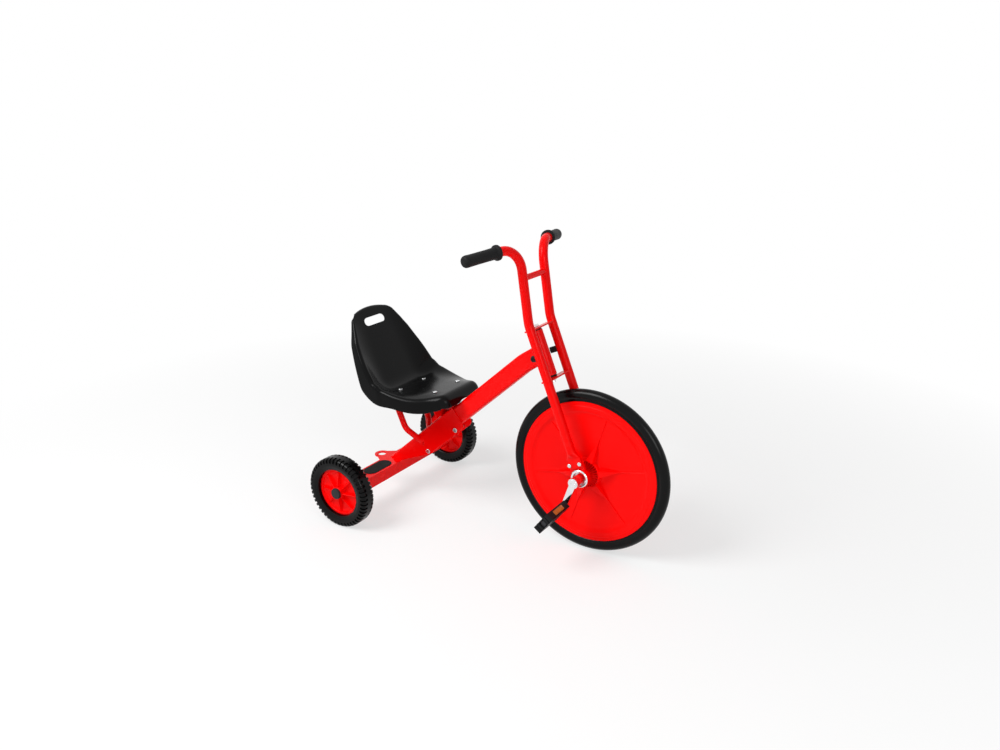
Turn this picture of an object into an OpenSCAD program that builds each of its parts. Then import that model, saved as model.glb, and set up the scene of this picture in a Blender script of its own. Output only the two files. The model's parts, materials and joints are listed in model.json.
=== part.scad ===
// Low rider tricycle: a pedalled front wheel in a tall steering fork, a low bucket seat and two rear wheels.
// +X points forward, +Y to the rider's left, +Z up. The origin is on the floor, under the middle of the object.

/* [Wheels] */
// Distance from the rear axle to the front axle
wheel_base = 657; // [620:1:700]
// Outer radius of the front tyre
front_tyre_r = 230; // [222:1:240]
// Depth of the front tyre, from its tread to its seat on the wheel
front_tyre_depth = 31; // [28:0.5:36]
// Half width of the front tyre
front_tyre_half = 15.5; // [13:0.5:17]
// Outer radius of the rear tyres
rear_tyre_r = 105; // [98:1:112]
// Depth of a rear tyre, from its tread to its seat on the wheel
rear_tyre_depth = 34.5; // [28:0.5:38]
// Half width of the rear tyres
rear_tyre_half = 24; // [20:0.5:27]
// Distance between the middles of the rear wheels
rear_track = 524; // [500:1:560]
// Number of ribs on each side of the front wheel
front_rib_count = 6; // [5:1:8]
// Number of ribs on each side of a rear wheel
rear_rib_count = 8; // [6:1:10]

/* [Fork and handlebar] */
// Lean of the fork and the head tube, in degrees from upright
fork_rake = 22.2; // [20:0.1:24]
// Distance between the middles of the two fork tubes
fork_spread = 112; // [106:1:120]
// Radius of the fork tubes
fork_tube_r = 12.5; // [11:0.25:13.5]
// Wall of the fork tubes
fork_wall = 2; // [1.5:0.25:3]
// Distance of the steering axis behind the fork tubes
head_setback = 20; // [16:0.5:24]
// Room between the front tyre and the middle of the lower yoke plate
yoke_room = 40; // [34:1:48]
// Distance between the two yoke plates, along the fork
yoke_pitch = 140; // [132:1:148]
// Thickness of the yoke plates
yoke_t = 4; // [3:0.5:6]
// Forward kink of the fork tubes above the upper yoke, in degrees
kink_angle = 13.5; // [10:0.5:16]
// Radius of that kink
kink_bend_r = 110; // [80:1:140]
// Straight length of a fork tube between the kink and the handlebar bend
upper_len = 129; // [110:1:150]
// Distance of the cross tube above the kink
cross_tube_at = 107; // [80:1:112]
// Radius of the cross tube
cross_tube_r = 8; // [6:0.5:10]
// Angle of the handlebar bend, in degrees
bar_bend = 92.6; // [85:0.2:98]
// Radius of the handlebar bend
bar_bend_r = 58; // [48:1:66]
// Sweep of the handlebar ends towards the rider, in degrees
bar_sweep = 16.3; // [10:0.1:22]
// Bare length of the handlebar between its bend and the grip
bar_bare_len = 11; // [6:0.5:20]
// Length of a grip
grip_len = 112; // [100:1:125]
// Radius of a grip
grip_r = 15.5; // [15:0.25:17]
// Radius of the flange of a grip
grip_flange_r = 20; // [18:0.5:23]
// Reach of a steering bumper from the middle of its fork tube
bumper_reach = 29; // [22:0.5:30]
// Radius of a steering bumper
bumper_r = 8.5; // [6:0.5:10]

/* [Frame] */
// Height of the main beam's section
beam_h = 52; // [46:1:56]
// Width of the main beam's section
beam_w = 38; // [32:1:42]
// Wall of the main beam
beam_wall = 2.5; // [2:0.25:4]
// Corner radius of the main beam's section
beam_corner_r = 9; // [6:0.5:12]
// Length of the beam's upper end, from its bend to the steering axis
nose_len = 65; // [50:1:80]
// Rise of the beam's upper end, in degrees
nose_rise = 34; // [28:0.5:38]
// Radius of the beam's bend
beam_bend_r = 160; // [120:5:200]
// Distance of the beam's lower end in front of the rear axle
foot_x = 87; // [78:1:96]
// Height of the beam's lower end above the floor
foot_z = 169.5; // [162:0.5:177]
// Outer radius of the head tube
head_r = 16.5; // [15:0.5:19]
// Length of the rear bracket along the beam, from the beam's lower end
bracket_len = 206; // [195:1:215]
// Depth of the rear bracket's side plates below the beam's middle
bracket_drop = 40; // [38:0.5:46]
// Thickness of the rear bracket's sheet
bracket_t = 3; // [2:0.25:4]
// Distance of the lower bracket bolt from the beam's lower end
bolt_low_at = 36; // [30:1:60]
// Distance of the upper bracket bolt from the beam's lower end
bolt_high_at = 170.5; // [150:1:180]
// Radius of the bracket bolts
bracket_bolt_r = 4; // [3:0.25:5]

/* [Rear cross channel] */
// Width of the channel, front to back
channel_w = 59; // [54:1:66]
// Depth of the channel
channel_h = 36; // [32:1:42]
// Thickness of the channel's sheet
channel_t = 3; // [2:0.25:4]
// Room between a channel end and the tyre beside it
channel_end_gap = 13; // [8:1:20]
// Radius of the rear axle
axle_r = 7; // [6:0.25:8]
// Half length of a step pad
pad_half_len = 53; // [44:1:58]
// Half width of a step pad
pad_half_w = 23; // [18:1:25]
// Distance of a step pad from the middle of the channel
pad_y = 102; // [92:1:125]
// Thickness of the step pads
pad_t = 1.5; // [1:0.25:2.5]
// Distance of the tow hole behind the rear axle
tow_hole_x = 67; // [60:1:74]
// Radius of the tow hole
tow_hole_r = 12; // [10:0.25:14]
// Width of steel around the tow hole
tow_land = 11; // [8:0.5:14]
// Half width of the tow tab at the channel
tow_base_half = 50; // [40:1:56]
// Thickness of the tow tab
tow_t = 4; // [3:0.25:6]
// Drop of the tow tab's top below the channel's top
tow_drop = 9; // [6:0.5:14]

/* [Seat] */
// Distance of the rear seat screws in front of the rear axle
seat_x = 62; // [56:1:68]
// Height of the seat at its rear screws
seat_z = 363; // [355:1:371]
// Rise of the seat towards its front, in degrees
seat_rise = 7.2; // [5:0.2:9]
// Distance between the front and the rear seat screws
screw_pitch = 127; // [118:1:134]
// Distance between the right and the left seat screws
screw_spread = 112; // [104:1:118]
// Thickness of the seat shell
seat_t = 5; // [4:0.25:6]
// Distance of the front lip's bend in front of the front screws
lip_run = 35; // [30:1:42]
// Radius of the front lip
lip_r = 26; // [20:1:30]
// Length of the front lip below its bend
lip_drop = 6; // [4:0.5:7]
// Depth of the notch in the lip's lower edge, over the beam
lip_notch = 8.5; // [6:0.5:9]
// Depth of the seat's front corners below its top
corner_low = 42.5; // [42.5:0.5:46]
// Radius of the bend between the seat and its back
hip_r = 50; // [44:1:60]
// Lean of the seat's back from upright, in degrees
back_lean = 28; // [24:0.5:32]
// Length of the seat's back above the bend
back_len = 210; // [195:1:225]
// Radius of the rolled edge at the top of the back
crown_r = 9; // [7:0.5:11]
// Fall of the back's top edge from its middle to its corners
crown_arch = 16; // [10:0.5:18]
// Largest half width of the seat's opening
seat_half_w = 147; // [136:1:156]
// Greatest height of the side walls above the seat
wall_rise = 30; // [24:1:34]
// Greatest depth of the skirt below the rim
skirt_drop = 46; // [40:1:54]
// Distance of the hand hole below the rolled edge, along the back
hand_hole_down = 36; // [32:1:42]
// Length of the hand hole
hand_hole_len = 90; // [80:1:96]
// Width of the hand hole
hand_hole_w = 24; // [20:1:28]
// Radius of the seat support tubes
rail_r = 9; // [7.5:0.25:10]
// Radius of the upper bend of the seat support tubes
rail_bend_r = 18; // [16:0.5:22]
// Angle of that bend, in degrees
rail_bend = 107; // [100:1:112]
// Straight length of a seat support leg
leg_len = 73; // [64:1:78]
// Radius of the lower bend of the seat support tubes
toe_bend_r = 45; // [36:1:54]
// Angle of the lower bend, in degrees
toe_bend = 34; // [30:1:38]
// Turn of the lower bend around the leg, in degrees
toe_turn = 104; // [98:1:110]
// Thickness of the front seat bracket
seat_bracket_t = 4; // [3:0.25:6]

/* [Crank and pedals] */
// Distance from the front axle to a pedal's axis
crank_len = 82.5; // [76:0.5:88]
// Angle of the right crank behind straight down, in degrees
crank_back = 19.7; // [0:0.1:40]
// Radius of the crank axle
crank_axle_r = 8; // [7:0.25:9]
// Radius of a crank's boss
crank_boss_r = 14; // [13:0.25:16]
// Thickness of a crank
crank_t = 15.6; // [13:0.2:18]
// Distance of a crank's inner face from the middle of the wheel
crank_in = 80; // [76:0.5:84]
// Length of a pedal
pedal_len = 98; // [90:1:110]
// Width of a pedal
pedal_w = 62; // [54:1:70]
// Thickness of a pedal
pedal_t = 22; // [19:0.5:26]
// Tilt of the pedals' treads at rest, in degrees
pedal_tilt = 53; // [0:1:90]
// Radius of a pedal spindle
spindle_r = 6; // [5:0.25:7]

/* [Hidden] */
$fn = 48;

// Paint and materials
red = [0.90, 0.03, 0.03];
black = [0.06, 0.06, 0.07];
chrome = [0.85, 0.86, 0.88];
zinc = [0.72, 0.73, 0.74];
amber = [0.85, 0.42, 0.08];

// Clearances: fixed pieces, turning fits, and flat faces that pass each other
seat_gap = 0.05;
running_gap = 0.05;
side_gap = 0.3;
// Overrun of all cuts
overrun = 2;
// A bend is this much thinner than its straight ends, which run into it by the lap
bend_thin = 0.05;
bend_lap = 0.5;

// Places of the axles
rear_x = -(wheel_base + front_tyre_r - rear_tyre_r) / 2;
front_x = rear_x + wheel_base;
half_track = rear_track / 2;
fork_half = fork_spread / 2;

// Seats of the tyres, and the yoke plates above the front one
front_seat_r = front_tyre_r - front_tyre_depth;
rear_seat_r = rear_tyre_r - rear_tyre_depth;
lower_yoke_at = front_tyre_r + yoke_room;
upper_yoke_at = lower_yoke_at + yoke_pitch;

// Head tube, bushes and steering pin
pin_r = 7;
pin_head_r = 12;
pin_head_h = 6;
pin_tail = 12;
bush_r = 11;
bush_flange_r = 15;
bush_flange_t = 5;
bush_len = 24;
head_low = lower_yoke_at + yoke_t / 2 + side_gap + bush_flange_t;
head_high = upper_yoke_at - yoke_t / 2 - side_gap - bush_flange_t;
head_mid_at = (lower_yoke_at + upper_yoke_at) / 2;
yoke_eye_r = 20;
yoke_front = 9;

// Place in the X-Z plane of a point given along and across the fork
function from_fork(x, z) = [
  front_x + x * cos(fork_rake) - z * sin(fork_rake),
  front_tyre_r + x * sin(fork_rake) + z * cos(fork_rake)
];

// Main beam: from its foot in the bracket, round its bend, to the steering axis
head_point = from_fork(-head_setback, head_mid_at);
bend_point = head_point - nose_len * [cos(nose_rise), sin(nose_rise)];
foot_point = [rear_x + foot_x, foot_z];
beam_line = bend_point - foot_point;
beam_rise = atan2(beam_line[1], beam_line[0]);
beam_turn = beam_rise - nose_rise;
beam_tangent = beam_bend_r * tan(beam_turn / 2);
beam_straight = norm(beam_line) - beam_tangent;
nose_straight = nose_len - beam_tangent;

// Rear bracket round the lower end of the beam
bracket_in_half = beam_w / 2 + seat_gap;
bracket_half = bracket_in_half + bracket_t;
bracket_in_top = beam_h / 2 + seat_gap;
bracket_top = bracket_in_top + bracket_t;
bracket_fold_r = 5;
bracket_corner_r = 18;
bolt_drop = beam_h / 2 + bracket_bolt_r + seat_gap;
bolt_head_r = 7;
bolt_head_h = 5;
bolt_tail = 3;
nut_r = 7.5;
nut_h = 6;

// Rear cross channel, axle and wheels
channel_half = half_track - rear_tyre_half - channel_end_gap;
axle_top_gap = 1;
channel_top = rear_tyre_r + axle_r + axle_top_gap + channel_t;
channel_web_t = 6;
channel_web_y = 60;
rear_hub_half = 20;
rear_hub_r = 17;
rear_web_half = 4;
rear_rim_half = 11;
rear_rim_depth = 8;
rear_rib_t = 2.5;
rear_rib_in_r = rear_hub_r - rear_rib_t;
rear_rib_out_r = rear_seat_r - rear_rim_depth / 2;
rear_rib_half = 17;
rear_rib_end_half = 8.5;
rear_tyre_corner_r = 12;
collar_r = 11;
clip_r = 11;
clip_t = 1.6;
cap_r = 16;
cap_h = 8;
cap_wall = 2;
axle_stub = 3;

// Front wheel and its bearings in the fork ends
kink_at = upper_yoke_at + yoke_t;
paddle_low = 28;
paddle_high = 52;
tube_low = 74;
weld_bead = 0.4;
paddle_half = 21;
paddle_t = 5;
paddle_in = fork_half - paddle_t / 2;
block_t = 8;
block_in = paddle_in - block_t;
block_r = 25;
block_out = paddle_in + paddle_t / 2;
bearing_r = 19;
bearing_inset = 1;
bearing_cap_t = 6.5;
bearing_cap_hole_r = 17;
bearing_cap_edge = 2.5;
bearing_bolt_r = 3;
bearing_bolt_x = 15.6;
bearing_bolt_z = 39.2;
bearing_head_r = 5.5;
bearing_head_h = 4;
bearing_nut_h = 5;
front_hub_r = 17;
front_hub_half = block_in - 2 * side_gap;
collar_out_r = 36;
collar_half = 24;
front_web_half = 9;
front_rim_half = 15;
front_rim_depth = 24;
front_rim_slope = 10;
front_rib_end = 49;
front_rib_out_r = front_seat_r - front_rib_end;
front_rib_t = 4;
front_rib_half = 32;
front_rib_turn = 13;
tyre_seat_share = 0.86;

// Cranks and pedals
spacer_r = 12.5;
crank_out = crank_in + crank_t;
crank_eye_r = 11;
crank_arm_root = 9;
crank_arm_tip = 7.5;
crank_arm_t = 12;
crank_cap_r = 11;
crank_cap_t = 2;
crank_cap_inset = 1.2;
spanner_r = 1.2;
spanner_x = 4;
pedal_gap = 8;
pedal_in = crank_out + pedal_gap;
pedal_barrel_r = 10.5;
pedal_bar_t = 9;
pedal_window_w = pedal_w / 2 - pedal_bar_t - pedal_barrel_r;
pedal_window_x = pedal_barrel_r + pedal_window_w / 2;
pedal_end_t = 14;
pedal_tooth = 5;
pedal_teeth = 5;
spindle_head_t = 3;
spindle_head_r = 8;
spindle_sink = pedal_tooth + spindle_head_t + side_gap;
spindle_end = pedal_in + pedal_len - spindle_sink + side_gap;
reflector_len = 44;
reflector_h = 13;
reflector_t = 3;
reflector_proud = 1;

// Grips and bumpers
grip_wall_end = 5;
grip_flange_t = 8;
bar_len = bar_bare_len + grip_len - grip_wall_end - seat_gap;
bumper_turn = 20;
bumper_up = 66;

// Seat fasteners and supports
screw_r = 3;
screw_head_r = 7;
screw_head_h = 2.5;
spot_depth = 0.3;
seat_nut_r = 6;
seat_nut_h = 5;
rail_nose = 12;
rail_tail = 8;
rail_gap = 0.7;
rail_drop = seat_t + rail_gap + rail_r;
rail_run = screw_pitch + rail_nose + rail_tail;
toe_len = 70;
seat_bracket_back = 20;
seat_bracket_over = 3;
seat_bracket_reach = 120;

// Frames of reference
module in_fork() translate([front_x, 0, front_tyre_r]) rotate([0, -fork_rake, 0]) children();
module in_head() in_fork() translate([-head_setback, 0, 0]) children();
module on_beam() translate([foot_point[0], 0, foot_point[1]]) rotate([0, -beam_rise, 0]) children();
module on_seat() translate([rear_x + seat_x, 0, seat_z]) rotate([0, -seat_rise, 0]) children();
module at_rear_axle() translate([rear_x, 0, rear_tyre_r]) children();
module at_front_axle() translate([front_x, 0, front_tyre_r]) children();
module at_crank_end(side) at_front_axle()
  translate([side * crank_len * sin(crank_back), 0, side * crank_len * cos(crank_back)]) children();

// Turns a shape that stands along Z so that it points sideways, to the right or the left
module sideways(side) rotate([-side * 90, 0, 0]) children();

// Extrudes an outline in the Y-Z plane along X
module along_x(len) rotate([90, 0, 90]) linear_extrude(len) children();

// Ring between two radii
module sleeve(r_out, r_in, h) difference() {
  cylinder(r = r_out, h = h);
  translate([0, 0, -overrun]) cylinder(r = r_in, h = h + 2 * overrun);
}

// Rectangle with round corners
module rounded(w, h, r) {
  square([w - 2 * r, h], center = true);
  square([w, h - 2 * r], center = true);
  for (sx = [-1, 1], sy = [-1, 1]) translate([sx * (w / 2 - r), sy * (h / 2 - r)]) circle(r = r);
}

// Straight length of a round bar between bends
module straight(r, len) translate([0, 0, -bend_lap]) cylinder(r = r, h = len + 2 * bend_lap);

// Bend of a round bar that heads along Z and turns towards X
module elbow(r, bend_r, angle) translate([bend_r, 0, 0]) rotate([90, 0, 0]) rotate([0, 0, 180 - angle])
  rotate_extrude(angle = angle) translate([bend_r, 0]) circle(r = r - bend_thin);

// Frame of reference past such a bend, turned round the bar
module past_elbow(bend_r, angle, turn) rotate([0, 0, turn])
  translate([bend_r * (1 - cos(angle)), 0, bend_r * sin(angle)]) rotate([0, angle, 0]) rotate([0, 0, -turn])
    children();

// Hexagon nut with its bore
module nut(r, h, bore) difference() {
  cylinder(r = r, h = h, $fn = 6);
  translate([0, 0, -overrun]) cylinder(r = bore + seat_gap, h = h + 2 * overrun);
}

// Beam as a bar, made smaller all round by the given wall, and longer by the given overrun
module beam_run(wall, past) {
  translate([-past, 0, 0]) along_x(beam_straight + past + bend_lap) beam_outline(wall);
  translate([beam_straight, 0, -beam_bend_r]) {
    rotate([90, 0, 0]) rotate([0, 0, 90 - beam_turn]) rotate_extrude(angle = beam_turn)
      translate([beam_bend_r, 0]) rotate(90) beam_outline(wall + bend_thin);
    rotate([0, beam_turn, 0]) translate([-bend_lap, 0, beam_bend_r])
      along_x(nose_straight + past + bend_lap) beam_outline(wall);
  }
}
module beam_outline(wall) rounded(beam_w - 2 * wall, beam_h - 2 * wall, beam_corner_r - wall);

module main_beam() color(red) difference() {
  on_beam() difference() {
    beam_run(0, 0);
    beam_run(beam_wall, overrun);
  }
  in_head() translate([0, 0, lower_yoke_at]) cylinder(r = head_r + seat_gap, h = upper_yoke_at - lower_yoke_at);
}

module head_tube() color(red) in_head() translate([0, 0, head_low])
  sleeve(head_r, bush_r + seat_gap, head_high - head_low);

// Flanged bush, flange down, bore along Z
module head_bush() color(black) {
  sleeve(bush_flange_r, pin_r + running_gap, bush_flange_t);
  translate([0, 0, bush_flange_t]) sleeve(bush_r, pin_r + running_gap, bush_len);
}
module upper_bush() in_head() translate([0, 0, head_high + bush_flange_t]) mirror([0, 0, 1]) head_bush();
module lower_bush() in_head() translate([0, 0, head_low - bush_flange_t]) head_bush();

// Folded section of the bracket: a top web and two deep side plates
module bracket_outline() difference() {
  union() {
    translate([-bracket_half, -bracket_drop])
      square([2 * bracket_half, bracket_drop + bracket_top - bracket_fold_r]);
    translate([-bracket_half + bracket_fold_r, 0]) square([2 * (bracket_half - bracket_fold_r), bracket_top]);
    for (s = [-1, 1]) translate([s * (bracket_half - bracket_fold_r), bracket_top - bracket_fold_r])
      circle(r = bracket_fold_r);
  }
  translate([-bracket_in_half, -bracket_drop - overrun])
    square([2 * bracket_in_half, bracket_drop + overrun + bracket_in_top]);
}

// Rounds the lower front corner of the side plates
module bracket_corner_cut() translate([bracket_len - bracket_corner_r, 0, bracket_corner_r - bracket_drop])
  rotate([90, 0, 0]) linear_extrude(2 * beam_w, center = true) difference() {
    translate([0, -bracket_corner_r - overrun]) square(bracket_corner_r + overrun);
    circle(r = bracket_corner_r);
  }

// Clears the channel, and trims the side plates from their lower bolt down to the channel's front edge
module bracket_foot_cut() {
  heel = [rear_x + channel_w / 2, channel_top];
  low = foot_point + bolt_low_at * [cos(beam_rise), sin(beam_rise)]
    + bracket_drop * [sin(beam_rise), -cos(beam_rise)];
  rotate([90, 0, 0]) linear_extrude(4 * bracket_half, center = true) polygon([
    heel, low, [low[0], 0], [heel[0] - foot_z, 0], [heel[0] - foot_z, channel_top]
  ]);
}

module rear_bracket() color(red) difference() {
  on_beam() difference() {
    translate([-foot_z, 0, 0]) along_x(foot_z + bracket_len) bracket_outline();
    bracket_corner_cut();
    at_bracket_bolts() cylinder(r = bracket_bolt_r + seat_gap, h = 4 * bracket_half, center = true);
  }
  bracket_foot_cut();
}

// Places of the two bolts that close the bracket under the beam, pointing to the left
module at_bracket_bolts() for (at = [bolt_low_at, bolt_high_at])
  translate([at, 0, -bolt_drop]) sideways(1) children();

module bracket_bolts() color(zinc) on_beam() at_bracket_bolts() {
  translate([0, 0, -bracket_half]) cylinder(r = bracket_bolt_r, h = 2 * bracket_half + nut_h + bolt_tail);
  translate([0, 0, -bracket_half - bolt_head_h]) cylinder(r = bolt_head_r, h = bolt_head_h);
}
module bracket_nuts() color(zinc) on_beam() at_bracket_bolts()
  translate([0, 0, bracket_half]) nut(nut_r, nut_h, bracket_bolt_r);

// Upside-down channel with cross webs that hold the axle
module cross_channel() color(red) translate([rear_x, 0, 0]) difference() {
  union() {
    translate([-channel_w / 2, -channel_half, channel_top - channel_t])
      cube([channel_w, 2 * channel_half, channel_t]);
    for (x = [-channel_w / 2, channel_w / 2 - channel_t])
      translate([x, -channel_half, channel_top - channel_h]) cube([channel_t, 2 * channel_half, channel_h]);
    for (y = [-channel_half, -channel_web_y, channel_web_y - channel_web_t, channel_half - channel_web_t])
      translate([-channel_w / 2, y, channel_top - channel_h]) cube([channel_w, channel_web_t, channel_h]);
  }
  translate([0, 0, rear_tyre_r]) rotate([90, 0, 0])
    cylinder(r = axle_r + seat_gap, h = 2 * channel_half + 2 * overrun, center = true);
}

// Oval anti-slip pad on top of the channel: two round ends and a bulged middle
module step_pad(side) color(black) translate([rear_x, side * pad_y, channel_top]) linear_extrude(pad_t) {
  square([2 * pad_half_w, 2 * (pad_half_len - pad_half_w)], center = true);
  for (s = [-1, 1]) translate([0, s * (pad_half_len - pad_half_w)]) circle(r = pad_half_w);
}

module tow_tab() color(red) translate([rear_x, 0, channel_top - tow_drop - tow_t]) difference() {
  linear_extrude(tow_t) {
    polygon([
      [-channel_w / 2, -tow_base_half], [-channel_w / 2, tow_base_half],
      [-tow_hole_x, tow_hole_r + tow_land], [-tow_hole_x, -tow_hole_r - tow_land]
    ]);
    translate([-tow_hole_x, 0]) circle(r = tow_hole_r + tow_land);
  }
  translate([-tow_hole_x, 0, -overrun]) cylinder(r = tow_hole_r, h = tow_t + 2 * overrun);
}

// Places of the four seat screws, along the seat's own upright
module at_seat_screws() for (x = [0, screw_pitch], s = [-1, 1])
  translate([x, s * screw_spread / 2, 0]) children();

// Bent tube that runs under the seat, down behind it and in to the side of the bracket
module seat_support(side) color(red) difference() {
  on_seat() translate([screw_pitch + rail_nose, side * screw_spread / 2, -rail_drop]) rotate([0, -90, 0]) {
    straight(rail_r, rail_run);
    translate([0, 0, rail_run]) {
      rotate([0, 0, 180]) elbow(rail_r, rail_bend_r, rail_bend);
      past_elbow(rail_bend_r, rail_bend, 180) {
        straight(rail_r, leg_len);
        translate([0, 0, leg_len]) {
          rotate([0, 0, -side * toe_turn]) elbow(rail_r, toe_bend_r, toe_bend);
          past_elbow(toe_bend_r, toe_bend, -side * toe_turn) straight(rail_r, toe_len);
        }
      }
    }
  }
  translate([rear_x, -bracket_half - seat_gap, 0]) cube([wheel_base, 2 * (bracket_half + seat_gap), seat_z]);
  on_seat() at_seat_screws() translate([0, 0, -rail_drop])
    cylinder(r = screw_r + seat_gap, h = 2 * rail_r + 2 * overrun, center = true);
}

// Upright plate across the bracket that carries the front of the seat support tubes
module seat_bracket() color(red) difference() {
  on_seat() translate([screw_pitch - seat_bracket_back, 0, -rail_drop]) along_x(seat_bracket_t) polygon([
    [-screw_spread / 2 - rail_r - seat_bracket_over, 0], [screw_spread / 2 + rail_r + seat_bracket_over, 0],
    [bracket_half, -seat_bracket_reach], [-bracket_half, -seat_bracket_reach]
  ]);
  on_seat() for (s = [-1, 1]) translate([0, s * screw_spread / 2, -rail_drop]) rotate([0, 90, 0])
    cylinder(r = rail_r + seat_gap, h = rail_run);
  on_beam() translate([0, -2 * bracket_half, -foot_z])
    cube([bracket_len, 4 * bracket_half, foot_z + bracket_top]);
}

module seat_screws() color(zinc) on_seat() at_seat_screws() {
  translate([0, 0, -rail_drop - rail_r - seat_nut_h])
    cylinder(r = screw_r, h = rail_drop + rail_r + seat_nut_h);
  translate([0, 0, -spot_depth]) cylinder(r = screw_head_r, h = screw_head_h);
}
module seat_nuts() color(zinc) on_seat() at_seat_screws()
  translate([0, 0, -rail_drop - rail_r - seat_nut_h]) nut(seat_nut_r, seat_nut_h, screw_r);

module rear_axle() color(zinc) at_rear_axle() rotate([90, 0, 0])
  cylinder(r = axle_r, h = 2 * (half_track + rear_hub_half + axle_stub), center = true);

// Distance sleeves between the channel and the rear wheels
module axle_collars() color(zinc) at_rear_axle() for (s = [-1, 1]) sideways(s) translate([0, 0, channel_half])
  sleeve(collar_r, axle_r + seat_gap, half_track - rear_hub_half - side_gap - channel_half);

// Spring clips that keep the rear wheels on the axle
module axle_clips() color(zinc) at_rear_axle() for (s = [-1, 1]) sideways(s)
  translate([0, 0, half_track + rear_hub_half + side_gap]) sleeve(clip_r, axle_r + seat_gap, clip_t);

// Frames past the kink of a fork tube, and along its handlebar end
module past_kink() translate([0, 0, kink_at]) past_elbow(kink_bend_r, kink_angle, 0) children();
module on_bar(side) past_kink() translate([0, 0, upper_len])
  past_elbow(bar_bend_r, bar_bend, side * (90 + bar_sweep)) children();

// One bent tube: fork leg, kink, handlebar bend and handlebar end
module tube_run(side, r, low, past) {
  translate([0, 0, low]) straight(r, kink_at - low);
  translate([0, 0, kink_at]) elbow(r, kink_bend_r, kink_angle);
  past_kink() {
    straight(r, upper_len);
    translate([0, 0, upper_len]) rotate([0, 0, side * (90 + bar_sweep)]) elbow(r, bar_bend_r, bar_bend);
  }
  on_bar(side) straight(r, bar_len - bend_lap + past);
}

module fork_tube(side) color(red) in_fork() translate([0, side * fork_half, 0]) {
  difference() {
    tube_run(side, fork_tube_r, tube_low, 0);
    tube_run(side, fork_tube_r - fork_wall, tube_low + fork_wall, overrun);
  }
  hull() {
    translate([0, 0, tube_low]) cylinder(r = fork_tube_r + weld_bead, h = fork_wall, $fn = 32);
    translate([-paddle_half, -paddle_t / 2, paddle_high]) cube([2 * paddle_half, paddle_t, fork_wall]);
  }
  difference() {
    translate([-paddle_half, -paddle_t / 2, paddle_low])
      cube([2 * paddle_half, paddle_t, paddle_high - paddle_low + fork_wall]);
    at_bearing_bolts() cylinder(r = bearing_bolt_r + seat_gap, h = 2 * block_t, center = true);
  }
}

// Places of the bearing bolts on one fork end, pointing sideways
module at_bearing_bolts() for (s = [-1, 1])
  translate([s * bearing_bolt_x, 0, bearing_bolt_z]) rotate([-90, 0, 0]) children();

module cross_tube() color(red) difference() {
  in_fork() past_kink() translate([0, 0, cross_tube_at]) rotate([90, 0, 0])
    cylinder(r = cross_tube_r, h = fork_spread, center = true);
  in_fork() for (s = [-1, 1]) translate([0, s * fork_half, 0]) past_kink()
    cylinder(r = fork_tube_r + seat_gap, h = upper_len);
}

// Yoke plate between the fork tubes, with an eye for the steering pin
module yoke(at) color(red) in_fork() difference() {
  translate([0, 0, at - yoke_t / 2]) linear_extrude(yoke_t) {
    translate([-head_setback, -fork_half]) square([head_setback + yoke_front, fork_spread]);
    translate([-head_setback, 0]) circle(r = yoke_eye_r);
  }
  translate([-head_setback, 0, at - yoke_t]) cylinder(r = pin_r + seat_gap, h = 2 * yoke_t);
  for (s = [-1, 1]) translate([0, s * fork_half, at - yoke_t])
    cylinder(r = fork_tube_r + seat_gap, h = 2 * yoke_t);
}

module steering_pin() color(zinc) in_head() {
  translate([0, 0, lower_yoke_at - yoke_t / 2 - pin_tail])
    cylinder(r = pin_r, h = upper_yoke_at - lower_yoke_at + yoke_t + pin_tail);
  translate([0, 0, upper_yoke_at + yoke_t / 2]) cylinder(r = pin_head_r, h = pin_head_h, $fn = 6);
}
module steering_nut() color(zinc) in_head() translate([0, 0, lower_yoke_at - yoke_t / 2 - nut_h])
  nut(pin_head_r, nut_h, pin_r);

// Grip: flange, sleeve and domed end
module grip(side) color(black) in_fork() translate([0, side * fork_half, 0]) on_bar(side)
  translate([0, 0, bar_bare_len]) difference() {
    union() {
      cylinder(r = grip_flange_r, h = grip_flange_t);
      cylinder(r = grip_r, h = grip_len - grip_wall_end);
      translate([0, 0, grip_len - grip_wall_end]) rotate_extrude() {
        square([grip_r - grip_wall_end, grip_wall_end]);
        translate([grip_r - grip_wall_end, 0]) intersection() {
          circle(r = grip_wall_end);
          square(grip_wall_end);
        }
      }
    }
    translate([0, 0, -overrun]) cylinder(r = fork_tube_r + seat_gap, h = grip_len - grip_wall_end + overrun);
  }

// Round buffer on a fork tube, aimed inwards and backwards
module bumper(side) color(black) in_fork() translate([0, side * fork_half, lower_yoke_at + bumper_up])
  difference() {
    rotate([0, 0, side * bumper_turn]) rotate([0, -90, 0]) cylinder(r = bumper_r, h = bumper_reach);
    cylinder(r = fork_tube_r + seat_gap, h = 4 * bumper_r, center = true);
  }

// Block on a fork end that holds the ball bearing of the crank axle
module bearing_block(side) color(red) in_fork() difference() {
  union() {
    sideways(side) translate([0, 0, block_in]) cylinder(r = block_r, h = block_out - block_in);
    translate([-paddle_half, (side > 0 ? block_in : -block_in - block_t), 0])
      cube([2 * paddle_half, block_t - seat_gap, paddle_high]);
  }
  sideways(side) translate([0, 0, block_in - overrun])
    cylinder(r = bearing_r + seat_gap, h = block_out - block_in + 2 * overrun);
  translate([0, side * fork_half, 0]) at_bearing_bolts()
    cylinder(r = bearing_bolt_r + seat_gap, h = 4 * block_t, center = true);
}

module bearing(side) color(zinc) in_fork() sideways(side) translate([0, 0, block_in + bearing_inset])
  sleeve(bearing_r, crank_axle_r + running_gap, block_out - block_in - 2 * bearing_inset);

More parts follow.
